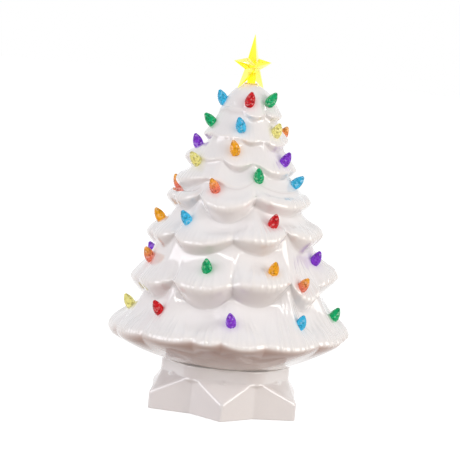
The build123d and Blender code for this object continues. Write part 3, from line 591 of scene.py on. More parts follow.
class ShellGrid:
    """Radius and height of every row and column of the shell, with marks for its finish and for its painted
    shade and reflection.
    """

    def __init__(self, sizes):
        self.azimuths = np.array([360 * i / sizes.columns for i in range(sizes.columns)])
        outlines = [outline_keys(sizes, a) for a in self.azimuths]
        pattern = outlines[0]
        counts = [segment_rows(a, b) for a, b in zip(pattern, pattern[1:])]
        slacks = [SLACKS[key.kind] for key in pattern]
        runs = [hermite([np.array(key[:2]) for key in keys], slacks, counts) for keys in outlines]
        self.tiers, self.parts, self.depths, self.rims, self.folds = self.marks(pattern, counts)
        self.below = (self.tiers == LAST_TIER) & (self.parts == 1)
        # Painted reflection and shade of the brown floor under the lowest tier: strongest just under the rim,
        # fading towards the foot
        skirts = np.clip(self.folds * 5, 0, 1) * (1.15 - 0.75 * self.folds)
        self.skirts = np.where(self.below, skirts, 0)
        outer = self.grooved(sizes, self.softened(np.array(runs).transpose(1, 0, 2)))
        self.outer_rows = len(outer)
        lip_height = sizes.foot_height + sizes.mouth_lip
        inner = [(sizes.mouth_radius, sizes.foot_height), (sizes.mouth_radius, lip_height)]
        inner += [(sizes.reach * out, sizes.top * up) for out, up in HOLLOW]
        inner += [(sizes.hole_radius, inner[-1][1]), (sizes.hole_radius, sizes.top)]
        inner = np.array(inner)[:, None, :].repeat(sizes.columns, axis=1)
        self.grid = np.concatenate([outer, inner])

    @staticmethod
    def marks(pattern, counts):
        """Tier, share of the slope, groove depth, and rim and fold weights of every row; the fold weight
        places the painted shade.
        """
        rows = [(0, 0.0, 1.0, 0.0, 0.0)]
        for first, second, count in zip(pattern, pattern[1:], counts):
            for row in range(1, count + 1):
                t = row / count
                tier, kind = second.tier, second.kind
                if kind in ("nose", "fold"):
                    under = NOSE_STOP * t if kind == "nose" else NOSE_STOP + (1 - NOSE_STOP) * t
                    groove, rim = (fade(rate, under) for rate in UNDER_FADES)
                    rows.append((tier - (kind == "fold"), 1.0, groove**2, rim, under**2))
                elif kind == "rim":
                    rows.append((tier, 1.0, 1.0, t, 0.0))
                elif kind in ("skirt", "foot"):
                    start = first.share if first.kind == "skirt" else -SKIRT_START
                    under = max(0, start * (1 - t) + second.share * t + SKIRT_START)
                    groove, rim = (fade(rate, under) for rate in SKIRT_FADES)
                    rows.append((tier, 1.0, groove**2, rim, under))
                else:
                    start = first.share if first.kind == "slope" else 0.0
                    part = start * (1 - t) + second.share * t
                    rows.append((tier, part, min(1.0, 0.1 + 1.2 * part), 0.0, fade(FOLD_SHADE_FADE, part)))
        return [np.array(column) for column in zip(*rows)]

    def softened(self, grid):
        """Rounds off what stands up under the creases, near the folds and under the lowest tier."""
        folds = np.clip(1.3 - 1.6 * self.parts, 0, 1) * (self.parts > 0)
        skirts = np.where(self.below, np.clip(self.folds * 3, 0, 1), 0)
        made = grid
        for columns, weights in ((FOLD_BLUR, folds), (SKIRT_BLUR, skirts)):
            mean = grid
            for _ in range(2):
                shifted = [np.roll(mean, shift, axis=1) for shift in range(-columns, columns + 1)]
                mean = sum(shifted) / len(shifted)
            made = made + (mean - grid) * weights[:, None, None]
        return made

    def grooved(self, sizes, grid):
        """Moves the outer rows by needles that fan out over each lobe and by creases between the lobes."""
        along = np.gradient(grid, axis=0)
        normal = np.stack([-along[..., 1], along[..., 0]], axis=-1)
        normal /= np.maximum(np.linalg.norm(normal, axis=-1, keepdims=True), 1e-9)
        heights = np.zeros(grid.shape[:2])
        folds = np.array([folded(a) for a in self.azimuths])
        facing = np.radians(folds)
        run = np.interp(folds, NEEDLE_TURNS, NEEDLE_RUNS)
        behind = np.where(np.abs((self.azimuths + 180) % 360 - 180) > 90, 5.0, 0.0)
        for tier, (spacing, *depths) in enumerate(NEEDLES):
            steps = [lobe_step(tier, a) for a in self.azimuths]
            centres = np.array([rows[s if s % 2 == 0 else s + 1][0] for rows, s, _ in steps])
            valleys = np.array([rows[s if s % 2 else s + 1][0] for rows, s, _ in steps])
            creases = np.array([part if s % 2 == 0 else 1 - part for _, s, part in steps])
            melts = np.array([lobe_values(tier, a)[2] for a in self.azimuths])
            turns, gaps = np.radians(folds - centres), np.radians(folds - valleys)
            spread = sizes.groove_spacing * spacing * np.interp(centres, NEEDLE_TURNS, NEEDLE_SPREADS)
            patches = 0.7 + 0.3 * np.sin(facing * 6.1 + tier * 2.3) * np.sin(facing * 2.7 + tier)
            depth = sizes.groove_depth * np.interp(folds, NEEDLE_TURNS, depths) * melts
            depth *= (1 - creases**4) * patches
            seed = tier * 7.7 + centres * 1.3 + behind
            reach = run * LAST_TIER_RUN if tier == LAST_TIER else run
            for row in np.nonzero(self.tiers == tier)[0]:
                part = self.parts[row]
                fan = NEEDLE_FAN + (1 - NEEDLE_FAN) * part
                phase = turns * sizes.reach * TIERS[tier][0] / spread / fan
                phase = phase + 0.4 * np.sin(phase * 0.8 + centres) + 0.8 * (1 - part) ** 2
                heights[row] = depth * self.depths[row] * (ridge(phase, seed, part, reach) - NEEDLE_FOOT)
                width = gaps * grid[row, :, 0] / sizes.crease_width
                crease = sizes.crease_depth * CREASES[tier] * melts * self.depths[row] * part**1.5
                heights[row] -= crease * np.exp(-(width**2))
        return grid + normal * heights[..., None]


# Meshes


def finished(name, shape, body, replaced, material, smooth=True):
    """Makes a bmesh into a piece at the origin that rides on a body for some CAD nodes."""
    mesh = bpy.data.meshes.new(name)
    shape.to_mesh(mesh)
    shape.free()
    mesh.polygons.foreach_set("use_smooth", [smooth] * len(mesh.polygons))
    mesh.materials.append(material)
    piece = bpy.data.objects.new(name, mesh)
    bpy.context.scene.collection.objects.link(piece)
    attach(piece, body)
    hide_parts(*replaced)
    return piece


def spun(mesh, points, steps, closed=False):
    """Spins a run of (radius, height) points about Z and returns the new vertices."""
    start = len(mesh.verts)
    verts = [mesh.verts.new((radius, 0, height)) for radius, height in points]
    edges = [mesh.edges.new(pair) for pair in zip(verts, verts[1:])]
    if closed:
        edges.append(mesh.edges.new((verts[-1], verts[0])))
    bmesh.ops.spin(
        mesh, geom=verts + edges, cent=(0, 0, 0), axis=(0, 0, 1),
        angle=2 * math.pi, steps=steps, use_merge=True, use_duplicate=False,
    )
    mesh.verts.ensure_lookup_table()
    return list(mesh.verts)[start:]


def bulb_places(sizes, looks):
    """Colour and matrix of every bulb: its seat, with Z along the bulb."""
    places = []
    for name, tier, azimuth, part, rise, facing in BULB_PLACES:
        radius, height = slope_point(sizes, tier_edges(sizes, azimuth), tier, part)
        axis = at(math.cos(math.radians(rise)), facing, math.sin(math.radians(rise)))
        seat = at(radius, azimuth, height) - axis * looks.seat_depth
        turn = axis.to_track_quat("Z", "Y").to_matrix().to_4x4()
        places.append((name, Matrix.Translation(seat) @ turn))
    return places


# Materials


class Finish:
    """A node material with helpers to add and link nodes."""

    def __init__(self, name):
        self.material = bpy.data.materials.new(name)
        self.material.use_nodes = True
        self.tree = self.material.node_tree
        self.shader = self.tree.nodes["Principled BSDF"]

    def node(self, kind, links=(), **values):
        made = self.tree.nodes.new("ShaderNode" + kind)
        for key, value in values.items():
            if key in made.inputs:
                made.inputs[key].default_value = value
            else:
                setattr(made, key, value)
        for socket, source in links:
            self.tree.links.new(source, made.inputs[socket])
        return made

    def link(self, source, socket):
        self.tree.links.new(source, self.shader.inputs[socket])

    def set(self, **values):
        for key, value in values.items():
            self.shader.inputs[key.replace("_", " ")].default_value = value

    def position(self, scale=(1, 1, 1)):
        """Object coordinates, stretched."""
        place = self.node("TexCoord")
        mapping = self.node("Mapping", [("Vector", place.outputs["Object"])])
        mapping.inputs["Scale"].default_value = scale
        return mapping.outputs["Vector"]

    def axes(self):
        """X, Y and Z of the object coordinates."""
        place = self.node("TexCoord")
        return self.node("SeparateXYZ", [("Vector", place.outputs["Object"])]).outputs

    def noise(self, scale, detail=3.0, stretch=(1, 1, 1)):
        made = self.node("TexNoise", [("Vector", self.position(stretch))], Scale=scale, Detail=detail)
        return made.outputs["Fac"]

    def ramp(self, noise, first, second):
        """Two colours across a noise."""
        made = self.node("ValToRGB", [("Fac", noise)])
        for element, place, tone in zip(
            made.color_ramp.elements, (NOISE_LOW, NOISE_HIGH), (first, second)
        ):
            element.position = place
            element.color = (*tone, 1)
        return made.outputs["Color"]

    def vary(self, noise, first, second):
        """Two values across a noise."""
        return self.span(noise, NOISE_LOW, NOISE_HIGH, first, second)

    def span(self, source, low, high, first, second):
        """Maps a range of a value to another."""
        made = self.node("MapRange", [("Value", source)])
        for key, value in (("From Min", low), ("From Max", high), ("To Min", first), ("To Max", second)):
            made.inputs[key].default_value = value
        return made.outputs["Result"]

    def mix(self, weight, first, second, blend="MIX"):
        """Mixes two colours, each a socket or a value."""
        made = self.node("Mix", data_type="RGBA", blend_type=blend)
        for socket, value in ((0, weight), (6, first), (7, second)):
            if isinstance(value, bpy.types.NodeSocket):
                self.tree.links.new(value, made.inputs[socket])
            elif socket == 0:
                made.inputs[socket].default_value = value
            else:
                made.inputs[socket].default_value = (*value, 1)
        return made.outputs[2]

    def maths(self, operation, first, second):
        made = self.node("Math", operation=operation)
        for socket, value in enumerate((first, second)):
            if isinstance(value, bpy.types.NodeSocket):
                self.tree.links.new(value, made.inputs[socket])
            else:
                made.inputs[socket].default_value = value
        return made.outputs[0]

    def attribute(self, name, output="Fac"):
        return self.node("Attribute", attribute_name=name).outputs[output]

    def bump(self, source, distance, strength=1.0):
        made = self.node("Bump", [("Height", source)], Distance=distance, Strength=strength)
        self.link(made.outputs["Normal"], "Normal")


def glaze(name, looks, marked):
    """White gloss glaze; a marked mesh has it thin on rims, with painted shade in the folds, a painted
    reflection of the floor under the lowest tier and a painted glow beside the bulbs.
    """
    finish = Finish(name)
    cloud = finish.vary(finish.noise(38.0), 0.0, 1.0)
    white = finish.mix(cloud, looks.white, [c * 0.975 for c in looks.white])
    rough = finish.vary(finish.noise(120.0, 2.0), 0.11, 0.17)
    if marked:
        white = finish.mix(finish.attribute("rim_mark"), white, looks.rim)
        # Painted shade in the folds under each tier
        white = finish.mix(finish.attribute("fold_mark"), white, looks.pool)
        # Painted reflection and shade of the brown floor under the lowest tier
        white = finish.mix(finish.attribute("skirt_mark"), white, looks.skirt)
        # Painted glow and reflection of the bulbs on the glaze beside them
        weight = finish.maths("MULTIPLY", finish.attribute("bulb_glow", "Alpha"), looks.glow)
        white = finish.mix(weight, white, finish.attribute("bulb_glow", "Color"))
        clay = finish.attribute("clay_mark")
        white = finish.mix(clay, white, looks.biscuit)
        rough = finish.maths("MAXIMUM", rough, finish.maths("MULTIPLY", clay, 0.7))
    finish.link(white, "Base Color")
    finish.link(rough, "Roughness")
    finish.set(Coat_Weight=1.0, Coat_Roughness=0.03, IOR=1.5)
    ripples = finish.maths("MULTIPLY", finish.noise(420.0, 2.0), 0.12)
    finish.bump(finish.maths("ADD", finish.noise(70.0, 2.0), ripples), 0.0006, 0.3)
    return finish.material


def with_painted_sparkle(finish, tone, sparkle_scale):
    """Gives a finish a clear colour with painted glints and painted shade: bright and dark flecks in its
    pebbled cut.
    """
    cells = finish.node("TexVoronoi", [("Vector", finish.position())], Scale=sparkle_scale)
    own = finish.node("SeparateColor", [("Color", cells.outputs["Color"])]).outputs["Red"]
    # Painted shade and painted glints of the pebbled cut, as dark and bright flecks
    dark = finish.mix(1.0, tone, (0.42, 0.40, 0.40), "MULTIPLY")
    pale = finish.mix(0.45, tone, (1.0, 1.0, 0.97))
    body = finish.mix(finish.span(own, 0.34, 0.08, 0.0, 0.8), tone, dark)
    body = finish.mix(finish.span(own, 0.76, 0.97, 0.0, 0.65), body, pale)
    finish.bump(cells.outputs["Distance"], 0.0005, 0.6)
    return body


def clear_plastic(finish, tone, **values):
    """Gives a finish the look of clear coloured plastic that shines a little by itself."""
    for socket in ("Base Color", "Emission Color", "Specular Tint"):
        finish.link(tone, socket)
    finish.set(IOR=1.45, **values)
    return finish.material


def bulb_plastic(name, looks):
    """Clear coloured plastic with a pebbled cut, painted glints and shade, in a second colour at the tip of
    the coral ones.
    """
    finish = Finish(f"{name}_bulb_plastic")
    tone = tuple(getattr(looks, name))
    tip = tuple(looks.coral_tip) if name == "coral" else tuple(c * 0.9 for c in tone)
    body = finish.mix(finish.span(finish.attribute("along"), 0.35, 0.9, 0.0, 1.0), tone, tip)
    return clear_plastic(
        finish, with_painted_sparkle(finish, body, looks.sparkle_scale),
        Roughness=0.14, Transmission_Weight=0.35, Emission_Strength=0.12,
        Coat_Weight=0.12, Coat_Roughness=0.04,
    )


def star_plastic(looks):
    """Clear yellow plastic with a painted highlight on every second facet, and orange where it is thick."""
    finish = Finish("star_plastic")
    # Painted highlight on every second facet
    tone = finish.mix(finish.attribute("facet_mark"), looks.yellow, looks.pale)
    tone = finish.mix(finish.attribute("thick_mark"), tone, looks.orange)
    return clear_plastic(
        finish, tone,
        Roughness=0.03, Transmission_Weight=0.80, Emission_Strength=0.22,
        Coat_Weight=0.2, Coat_Roughness=0.03,
    )


def moulded(name, tone, rough=0.5, grain=900.0, depth=0.00006):
    """Moulded plastic or rubber with a fine grain."""
    finish = Finish(name)
    speck = finish.noise(grain)
    finish.link(finish.ramp(speck, [c * 0.93 for c in tone], tone), "Base Color")
    finish.link(finish.vary(finish.noise(grain / 5), rough - 0.07, rough + 0.07), "Roughness")
    finish.bump(speck, depth)
    return finish.material


def steel(name, tone, rough=0.3):
    """Plain bright steel with fine drawn lines."""
    finish = Finish(name)
    lines = finish.noise(300.0, 2.0, stretch=(1, 6, 6))
    finish.link(finish.ramp(lines, [c * 0.85 for c in tone], tone), "Base Color")
    finish.link(finish.vary(lines, rough - 0.08, rough + 0.08), "Roughness")
    finish.set(Metallic=1.0)
    finish.bump(lines, 0.00003)
    return finish.material


def cell_wrap(looks):
    """Battery jacket: a dark sleeve with a copper-coloured band at the front end."""
    finish = Finish("cell_wrap")
    low, high = looks.band_start - looks.band_blur, looks.band_start + looks.band_blur
    band = finish.span(finish.axes()["Y"], low, high, 0.0, 1.0)
    tone = finish.mix(band, looks.cell, looks.cell_end)
    scuff = finish.span(finish.noise(240.0, 4.0), 0.55, 0.75, 0.0, 0.25)
    finish.link(finish.mix(scuff, tone, (0.5, 0.5, 0.5)), "Base Color")
    finish.link(finish.vary(finish.noise(90.0), 0.25, 0.4), "Roughness")
    finish.set(Metallic=0.4)
    return finish.material


def lamp_lens():
    """Milky dome of a small lamp, just alight."""
    finish = Finish("lamp_lens")
    tone = finish.ramp(finish.noise(500.0), (0.93, 0.86, 0.66), (0.98, 0.94, 0.80))
    finish.link(tone, "Base Color")
    finish.link(tone, "Emission Color")
    finish.set(Roughness=0.25, Transmission_Weight=0.4, Emission_Strength=0.4)
    return finish.material


def board_mask(looks):
    """White solder mask with a ring of pale tracks."""
    finish = Finish("board_mask")
    axes = finish.axes()
    squares = [finish.maths("POWER", axes[name], 2.0) for name in "XY"]
    radius = finish.maths("SQRT", finish.maths("ADD", *squares), 0.0)
    offset = finish.maths("ABSOLUTE", finish.maths("SUBTRACT", radius, looks.track_radius), 0.0)
    track = finish.span(offset, looks.track_core, looks.track_edge, 1.0, 0.0)
    tone = finish.mix(track, looks.mask, looks.track)
    speck = finish.noise(700.0)
    finish.link(finish.mix(finish.vary(speck, 0.0, 0.15), tone, (0.6, 0.6, 0.6)), "Base Color")
    finish.link(finish.vary(speck, 0.3, 0.42), "Roughness")
    finish.bump(track, 0.0001)
    return finish.material


def dress(material, *nodes):
    """Gives carried-over CAD nodes their finish."""
    for node in nodes:
        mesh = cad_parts[node].data
        mesh.materials.clear()
        mesh.materials.append(material)


class TREE_OT_shell(bpy.types.Operator):
    """Build the glazed shell with its scalloped tiers and needle grooves"""

    bl_idname = "tree.shell"
    bl_label = "Glazed shell"

    def execute(self, context):
        sizes, looks = settings().shell, settings().glaze
        grid = ShellGrid(sizes)
        rows = len(grid.grid)
        mesh = bmesh.new()
        rim = mesh.verts.layers.float.new("rim_mark")
        # Painted shade in the folds under each tier
        fold = mesh.verts.layers.float.new("fold_mark")
        clay = mesh.verts.layers.float.new("clay_mark")
        # Painted reflection and shade of the floor under the lowest tier
        skirt = mesh.verts.layers.float.new("skirt_mark")
        verts = spun(mesh, [(1.0, row) for row in range(rows)], sizes.columns, closed=True)
        for vert in verts:
            row = round(vert.co.z)
            turn = math.degrees(math.atan2(vert.co.x, -vert.co.y))
            column = round(turn / 360 * sizes.columns) % sizes.columns
            radius, height = grid.grid[row, column]
            vert.co = at(radius, turn, height)
            if row < grid.outer_rows:
                vert[rim] = grid.rims[row]
                vert[fold] = grid.folds[row] * looks.fold_shading
                vert[skirt] = grid.skirts[row]
            vert[clay] = 1.0 if grid.outer_rows - 1 <= row < rows - 1 else 0.0
        bmesh.ops.recalc_face_normals(mesh, faces=mesh.faces)
        shell = finished("glazed_shell", mesh, "tree", ["tree_body"], glaze("shell_glaze", looks, True))
        self.tint(shell.data, sizes)
        return {"FINISHED"}

    @staticmethod
    def tint(mesh, sizes):
        """Paints each bulb's colour on the glaze beside it, a painted glow and reflection of the bulb."""
        looks, spread = settings().bulb, settings().glaze.painted_glow_reach
        count = len(mesh.vertices)
        places = np.zeros(count * 3)
        mesh.vertices.foreach_get("co", places)
        places = places.reshape(-1, 3)
        total, weights = np.zeros((count, 3)), np.zeros(count)
        for name, matrix in bulb_places(sizes, looks):
            middle = matrix @ Vector((0, 0, looks.radius * 0.7))
            away = np.linalg.norm(places - np.array(middle), axis=1) - looks.radius
            weight = np.exp(-((np.maximum(away, 0) / spread) ** 2))
            total += weight[:, None] * np.array(getattr(looks, name))
            weights += weight
        tones = total / np.maximum(weights, 1e-6)[:, None]
        tint = np.concatenate([tones, np.minimum(weights, 1)[:, None]], axis=1)
        layer = mesh.attributes.new("bulb_glow", "FLOAT_COLOR", "POINT")
        layer.data.foreach_set("color", tint.astype(np.float32).ravel())


class TREE_OT_bulbs(bpy.types.Operator):
    """Build the pebbled flame bulbs, one piece for each colour"""

    bl_idname = "tree.bulbs"
    bl_label = "Bulbs"

    def execute(self, context):
        sizes, looks = settings().shell, settings().bulb
        places = bulb_places(sizes, looks)
        pattern = self.pattern(looks)
        for name in BULB_COLOURS:
            mesh = bmesh.new()
            for placed, matrix in places:
                if placed == name:
                    start = len(mesh.verts)
                    mesh.from_mesh(pattern)
                    mesh.verts.ensure_lookup_table()
                    bmesh.ops.transform(mesh, matrix=matrix, verts=mesh.verts[start:])
            plastic = bulb_plastic(name, looks)
            finished(f"{name}_bulbs", mesh, "tree", [f"bulbs_{name}"], plastic, smooth=False)
        bpy.data.meshes.remove(pattern)
        return {"FINISHED"}

    @staticmethod
    def pattern(looks):
        """One bulb on its seat: a flame outline spun round, its rows cut into diamonds, and its peg."""
        keys = [
            (looks.foot_radius, 0.0), (looks.radius, looks.length * 0.28),
            (looks.radius * 0.80, looks.length * 0.66), (looks.tip_radius, looks.length),
        ]
        flame = hermite([np.array(key) for key in keys], [1.0] * 4, [4, 5, 5])
        foot = -looks.peg_length
        points = [(0.0, foot), (looks.peg_radius, foot), (looks.peg_radius, 0.0)]
        points += [tuple(point) for point in flame]
        points.append((0.0, looks.length + looks.tip_radius * 0.4))
        mesh = bmesh.new()
        along = mesh.verts.layers.float.new("along")
        spun(mesh, points, looks.segments)
        bmesh.ops.remove_doubles(mesh, verts=mesh.verts, dist=MERGE_DISTANCE)
        bmesh.ops.recalc_face_normals(mesh, faces=mesh.faces)
        step = 2 * math.pi / looks.segments
        heights = [point[1] for point in flame]
        for vert in mesh.verts:
            vert[along] = max(0.0, vert.co.z / looks.length)
            row = min(range(len(heights)), key=lambda i: abs(heights[i] - vert.co.z))
            radius = math.hypot(vert.co.x, vert.co.y)
            if 0 < row < len(heights) - 1 and radius > looks.tip_radius:
                segment = round(math.atan2(vert.co.y, vert.co.x) / step)
                cut = looks.facet_depth * (0.3 if (segment + row) % 2 else -0.7)
                cut *= min(1.0, radius / looks.radius + 0.2)
                vert.co.x *= 1 + cut / radius
                vert.co.y *= 1 + cut / radius
        made = bpy.data.meshes.new("bulb_pattern")
        mesh.to_mesh(made)
        mesh.free()
        return made


class TREE_OT_star(bpy.types.Operator):
    """Build the faceted star topper with its collar and peg"""

    bl_idname = "tree.star"
    bl_label = "Star topper"

    def execute(self, context):
        looks = settings().star
        mesh = bmesh.new()
        thick = mesh.verts.layers.float.new("thick_mark")
        facet = mesh.faces.layers.float.new("facet_mark")
        rays = self.rays(looks)
        bmesh.ops.create_cone(
            mesh, cap_ends=False, segments=len(rays), radius1=1.0, radius2=0.0, depth=looks.half_thickness
        )
        bmesh.ops.translate(mesh, vec=(0, 0, looks.half_thickness / 2), verts=mesh.verts)
        bmesh.ops.remove_doubles(mesh, verts=mesh.verts, dist=MERGE_DISTANCE)
        for vert in mesh.verts:
            if vert.co.z > looks.half_thickness / 2:
                continue
            number = round(math.atan2(vert.co.x, vert.co.y) / (2 * math.pi / len(rays))) % len(rays)
            radius, angle = rays[number]
            vert.co = Vector((radius * math.cos(angle), radius * math.sin(angle), 0))
        half = [*mesh.verts, *mesh.edges, *mesh.faces]
        bmesh.ops.mirror(mesh, geom=half, merge_dist=MERGE_DISTANCE, axis="Z")
        bmesh.ops.recalc_face_normals(mesh, faces=mesh.faces)
        bmesh.ops.bevel(
            mesh, geom=list(mesh.edges), offset=looks.edge, segments=2, profile=0.5,
            affect="EDGES", material=-1,
        )
        # Marks every second facet for the painted highlight
        for face in mesh.faces:
            middle = face.calc_center_median()
            angles = [math.atan2(middle.y, middle.x) - tip for _, tip in rays[::2]]
            angles = [(angle + math.pi) % (2 * math.pi) - math.pi for angle in angles]
            face[facet] = 1.0 if min(angles, key=abs) < 0 else 0.0
        upright = Matrix.Rotation(math.pi / 2, 4, "X")
        turn = Matrix.Rotation(looks.turn, 4, "Z")
        place = Matrix.Translation((0, 0, looks.centre))
        bmesh.ops.transform(mesh, matrix=place @ turn @ upright, verts=mesh.verts)
        collar_top = looks.centre - looks.half_thickness
        collar = [
            (0.0, looks.peg_bottom), (looks.peg_radius, looks.peg_bottom),
            (looks.peg_radius, looks.flange_top), (looks.collar_radius, looks.flange_top),
            (looks.collar_radius, collar_top), (0.0, collar_top),
        ]
        verts = spun(mesh, collar, looks.segments)
        bmesh.ops.remove_doubles(mesh, verts=verts, dist=MERGE_DISTANCE)
        bmesh.ops.recalc_face_normals(mesh, faces=mesh.faces)
        for vert in mesh.verts:
            far = (vert.co - Vector((0, 0, looks.centre))).length
            vert[thick] = min(1.0, max(0.0, (looks.thick_reach - far) / looks.thick_fade))
        finished("star_of_plastic", mesh, "star", ["star_topper"], star_plastic(looks), smooth=False)
        return {"FINISHED"}

    @staticmethod
    def rays(looks):
        """Radius and angle of every corner, clockwise from the top point."""
        half = [(getattr(looks, size), angle) for size, angle in STAR_CORNERS]
        rays = [(looks.top_point, 90), *half, (looks.notch, -90)]
        rays += [(radius, 180 - angle) for radius, angle in reversed(half)]
        return [(radius, math.radians(angle)) for radius, angle in rays]


class TREE_OT_base(bpy.types.Operator):
    """Build the soft-edged base and give its pads, ring and sleeve their finishes"""

    bl_idname = "tree.base"
    bl_label = "Base"

    def execute(self, context):
        sizes = settings().base
        rows = self.rows(sizes)
        mesh = bmesh.new()
        verts = spun(mesh, [(1.0, row) for row in range(len(rows))], sizes.columns, closed=True)
        for vert in verts:
            radius, height, inset = rows[round(vert.co.z)]
            turn = math.degrees(math.atan2(vert.co.x, -vert.co.y))
            if radius is None:
                radius = self.reach(sizes, turn, height) - inset
            vert.co = at(radius, turn, height)
        bmesh.ops.recalc_face_normals(mesh, faces=mesh.faces)
        finished("glazed_base", mesh, "base", ["star_base"], glaze("base_glaze", settings().glaze, False))
        looks = settings().fittings
        dress(moulded("clear_rubber", looks.pads, 0.45), "foot_pads")
        dress(moulded("white_foam", looks.foam, 0.85, grain=1400.0, depth=0.0002), "seat_ring")
        dress(moulded("sleeve_plastic", looks.sleeve, 0.3), "star_ferrule")
        return {"FINISHED"}

    @staticmethod
    def rows(sizes):
        """Radius, height and inset of every row, with no radius where the star gives it."""
        low, high, soft = sizes.bottom, sizes.seat_height, sizes.rim_round
        bend, wall = soft * ROUND_MIDDLE, high - low - 2 * soft
        rows = [(None, low, soft), (None, low + bend, bend)]
        rows += [(None, low + soft + wall * i / sizes.rows, 0.0) for i in range(sizes.rows + 1)]
        rows += [(None, high - bend, bend), (None, high, soft)]
        inside = (
            (sizes.spigot_radius, high, sizes.spigot_height),
            (sizes.throat_radius, sizes.spigot_height, sizes.throat_height),
            (sizes.well_radius, sizes.throat_height, sizes.rebate_height),
            (sizes.rebate_radius, sizes.rebate_height, low),
        )
        for radius, start, end in inside:
            rows += [(radius, start, 0.0), (radius, end, 0.0)]
        return rows

    @staticmethod
    def reach(sizes, turn, height):
        """Radius of the star with its facets and neck, all blended softly."""
        tip, notch = sizes.tip_radius, sizes.notch_radius
        lean = math.atan2(tip - notch * math.cos(math.pi / 6), notch * 0.5)
        depth = tip * math.cos(lean)
        slope = (tip - sizes.roof_flat) / (sizes.roof_height - sizes.tip_wall)
        facet = tip - (min(height, sizes.roof_height) - sizes.tip_wall) * slope
        turn = math.radians((turn + 30) % 60 - 30)

        def flat(distance, away):
            return distance / max(0.05, math.cos(away))

        reach = 0.0
        for centre in (0.0, math.copysign(math.pi / 3, turn)):
            away = abs(turn - centre)
            point = soft_least(flat(depth, lean - away), flat(depth, lean + away), sizes.edge_round)
            point = soft_least(point, flat(facet, away), sizes.facet_round)
            reach = -soft_least(-reach, -point, sizes.valley_round)
        reach -= FACET_FALL * max(0.0, height - sizes.roof_height + sizes.facet_end)
        sides = [flat(sizes.neck_flat, away) for away in (turn, math.pi / 3 - abs(turn))]
        neck = soft_least(*sides, sizes.neck_round)
        neck -= NECK_FALL * max(0.0, sizes.roof_height - sizes.neck_overlap - height)
        flare = sizes.neck_rim - FLARE_FALL * (sizes.seat_height - height)
        neck = -soft_least(-neck, -flare, sizes.flare_round)
        return -soft_least(-reach, -neck, sizes.fillet)


class TREE_OT_lamp(bpy.types.Operator):
    """Give the lamp, battery bay and switch inside the base their finishes"""

    bl_idname = "tree.lamp"
    bl_label = "Lamp and battery bay"

    def execute(self, context):
        looks = settings().fittings
        dress(moulded("housing_plastic", looks.housing), "lamp_housing", "battery_door")
        dress(moulded("switch_plastic", looks.switch, 0.45), "switch_body", "switch_knob")
        bright = steel("contact_steel", looks.steel)
        dress(bright, "contact_plates", "contact_springs", "board_screws", "door_pins")
        dress(cell_wrap(looks), "aa_cells")
        dress(board_mask(looks), "led_board")
        dress(lamp_lens(), "leds")
        return {"FINISHED"}


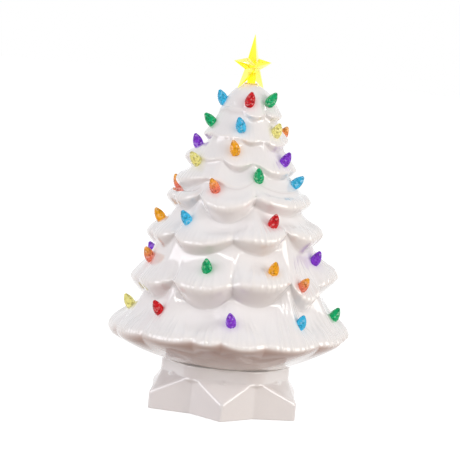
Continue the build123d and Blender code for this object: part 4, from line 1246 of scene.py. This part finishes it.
class TREE_OT_stage(bpy.types.Operator):
    """Add the floor, the lamps, the light all round and the camera"""

    bl_idname = "tree.stage"
    bl_label = "Stage"

    def execute(self, context):
        looks = settings().stage
        self.floor(looks)
        self.sky(looks)
        for name, setting, tint, place, size in LAMPS:
            self.lamp(name, getattr(looks, setting), tint, place, size, looks.aim)
        bpy.data.objects["back_lamp"].visible_glossy = False
        camera = bpy.data.cameras.new("camera")
        camera.lens = looks.lens
        camera.sensor_width = looks.sensor
        camera.clip_end = looks.clip_end
        eye = bpy.data.objects.new("camera", camera)
        place = Matrix.Translation((0, -looks.distance, looks.height))
        turn = Matrix.Rotation(-looks.yaw, 4, "Z") @ Matrix.Rotation(math.pi / 2 + looks.pitch, 4, "X")
        eye.matrix_world = place @ turn @ Matrix.Rotation(looks.roll, 4, "Z")
        context.scene.collection.objects.link(eye)
        context.scene.camera = eye
        context.scene.view_settings.view_transform = "Standard"
        return {"FINISHED"}

    @staticmethod
    def seen(tree):
        """1 for rays from the camera and for what is seen in gloss or through clear plastic."""
        path = tree.nodes.new("ShaderNodeLightPath")
        total = path.outputs["Is Camera Ray"]
        for name in ("Is Glossy Ray", "Is Transmission Ray"):
            most = tree.nodes.new("ShaderNodeMath")
            most.operation = "MAXIMUM"
            tree.links.new(total, most.inputs[0])
            tree.links.new(path.outputs[name], most.inputs[1])
            total = most.outputs[0]
        return total

    def floor(self, looks):
        """Floor that is white with a shadow to the camera, brown to the object and clear from below."""
        mesh = bmesh.new()
        bmesh.ops.create_grid(mesh, x_segments=1, y_segments=1, size=looks.floor_reach)
        data = bpy.data.meshes.new("floor")
        mesh.to_mesh(data)
        mesh.free()
        finish = Finish("pale_floor")
        nodes, links = finish.tree.nodes, finish.tree.links
        nodes.remove(finish.shader)
        brown = finish.node("BsdfDiffuse", Color=(*looks.floor, 1)).outputs[0]
        shade = finish.node("BsdfDiffuse", Color=(*[looks.floor_shade] * 3, 1)).outputs[0]
        light = finish.node("Emission", Color=(1, 1, 1, 1), Strength=looks.floor_light).outputs[0]
        white = finish.node("AddShader", [(0, shade), (1, light)]).outputs[0]
        seen = self.seen(finish.tree)
        above = finish.node("MixShader", [(0, seen), (1, brown), (2, white)]).outputs[0]
        clear = finish.node("BsdfTransparent").outputs[0]
        back = finish.node("NewGeometry").outputs["Backfacing"]
        whole = finish.node("MixShader", [(0, back), (1, above), (2, clear)]).outputs[0]
        links.new(whole, nodes["Material Output"].inputs["Surface"])
        data.materials.append(finish.material)
        floor = bpy.data.objects.new("floor", data)
        bpy.context.scene.collection.objects.link(floor)

    def sky(self, looks):
        """Even light all round, white where it is seen."""
        world = bpy.data.worlds.new("sky")
        world.use_nodes = True
        tree = world.node_tree
        soft = tree.nodes["Background"]
        soft.inputs["Color"].default_value = (*looks.sky_tint, 1)
        soft.inputs["Strength"].default_value = looks.sky
        white = tree.nodes.new("ShaderNodeBackground")
        white.inputs["Color"].default_value = (1, 1, 1, 1)
        mixed = tree.nodes.new("ShaderNodeMixShader")
        tree.links.new(self.seen(tree), mixed.inputs[0])
        tree.links.new(soft.outputs[0], mixed.inputs[1])
        tree.links.new(white.outputs[0], mixed.inputs[2])
        tree.links.new(mixed.outputs[0], tree.nodes["World Output"].inputs["Surface"])
        bpy.context.scene.world = world

    @staticmethod
    def lamp(name, energy, tint, place, size, aim):
        """Rectangular lamp that points at a height on the axis."""
        light = bpy.data.lights.new(name, "AREA")
        light.energy = energy
        light.color = tint
        light.shape = "RECTANGLE"
        light.size, light.size_y = size
        made = bpy.data.objects.new(name, light)
        made.location = place
        way = Vector((0, 0, aim)) - Vector(place)
        made.rotation_euler = way.to_track_quat("-Z", "Y").to_euler()
        bpy.context.scene.collection.objects.link(made)


class TREE_PT_panel(bpy.types.Panel):
    """Lists the pieces of the tree"""

    bl_idname = "TREE_PT_panel"
    bl_label = "Ceramic tree"
    bl_space_type = "VIEW_3D"
    bl_region_type = "UI"
    bl_category = "Tree"

    def draw(self, context):
        for operator in OPERATORS:
            self.layout.operator(operator.bl_idname)


GROUPS = (
    ShellSizes, GlazeLooks, BulbLooks, StarLooks, BaseSizes, FittingLooks, StageLooks, TreeSettings,
)
OPERATORS = (TREE_OT_shell, TREE_OT_bulbs, TREE_OT_star, TREE_OT_base, TREE_OT_lamp, TREE_OT_stage)


def register():
    for made in (*GROUPS, *OPERATORS, TREE_PT_panel):
        bpy.utils.register_class(made)
    bpy.types.Scene.ceramic_tree = PointerProperty(type=TreeSettings)


def unregister():
    del bpy.types.Scene.ceramic_tree
    for made in reversed((*GROUPS, *OPERATORS, TREE_PT_panel)):
        bpy.utils.unregister_class(made)


def main():
    register()
    bpy.ops.tree.shell()
    bpy.ops.tree.bulbs()
    bpy.ops.tree.star()
    bpy.ops.tree.base()
    bpy.ops.tree.lamp()
    bpy.ops.tree.stage()
    bpy.context.view_layer.update()


if __name__ == "__main__":
    main()
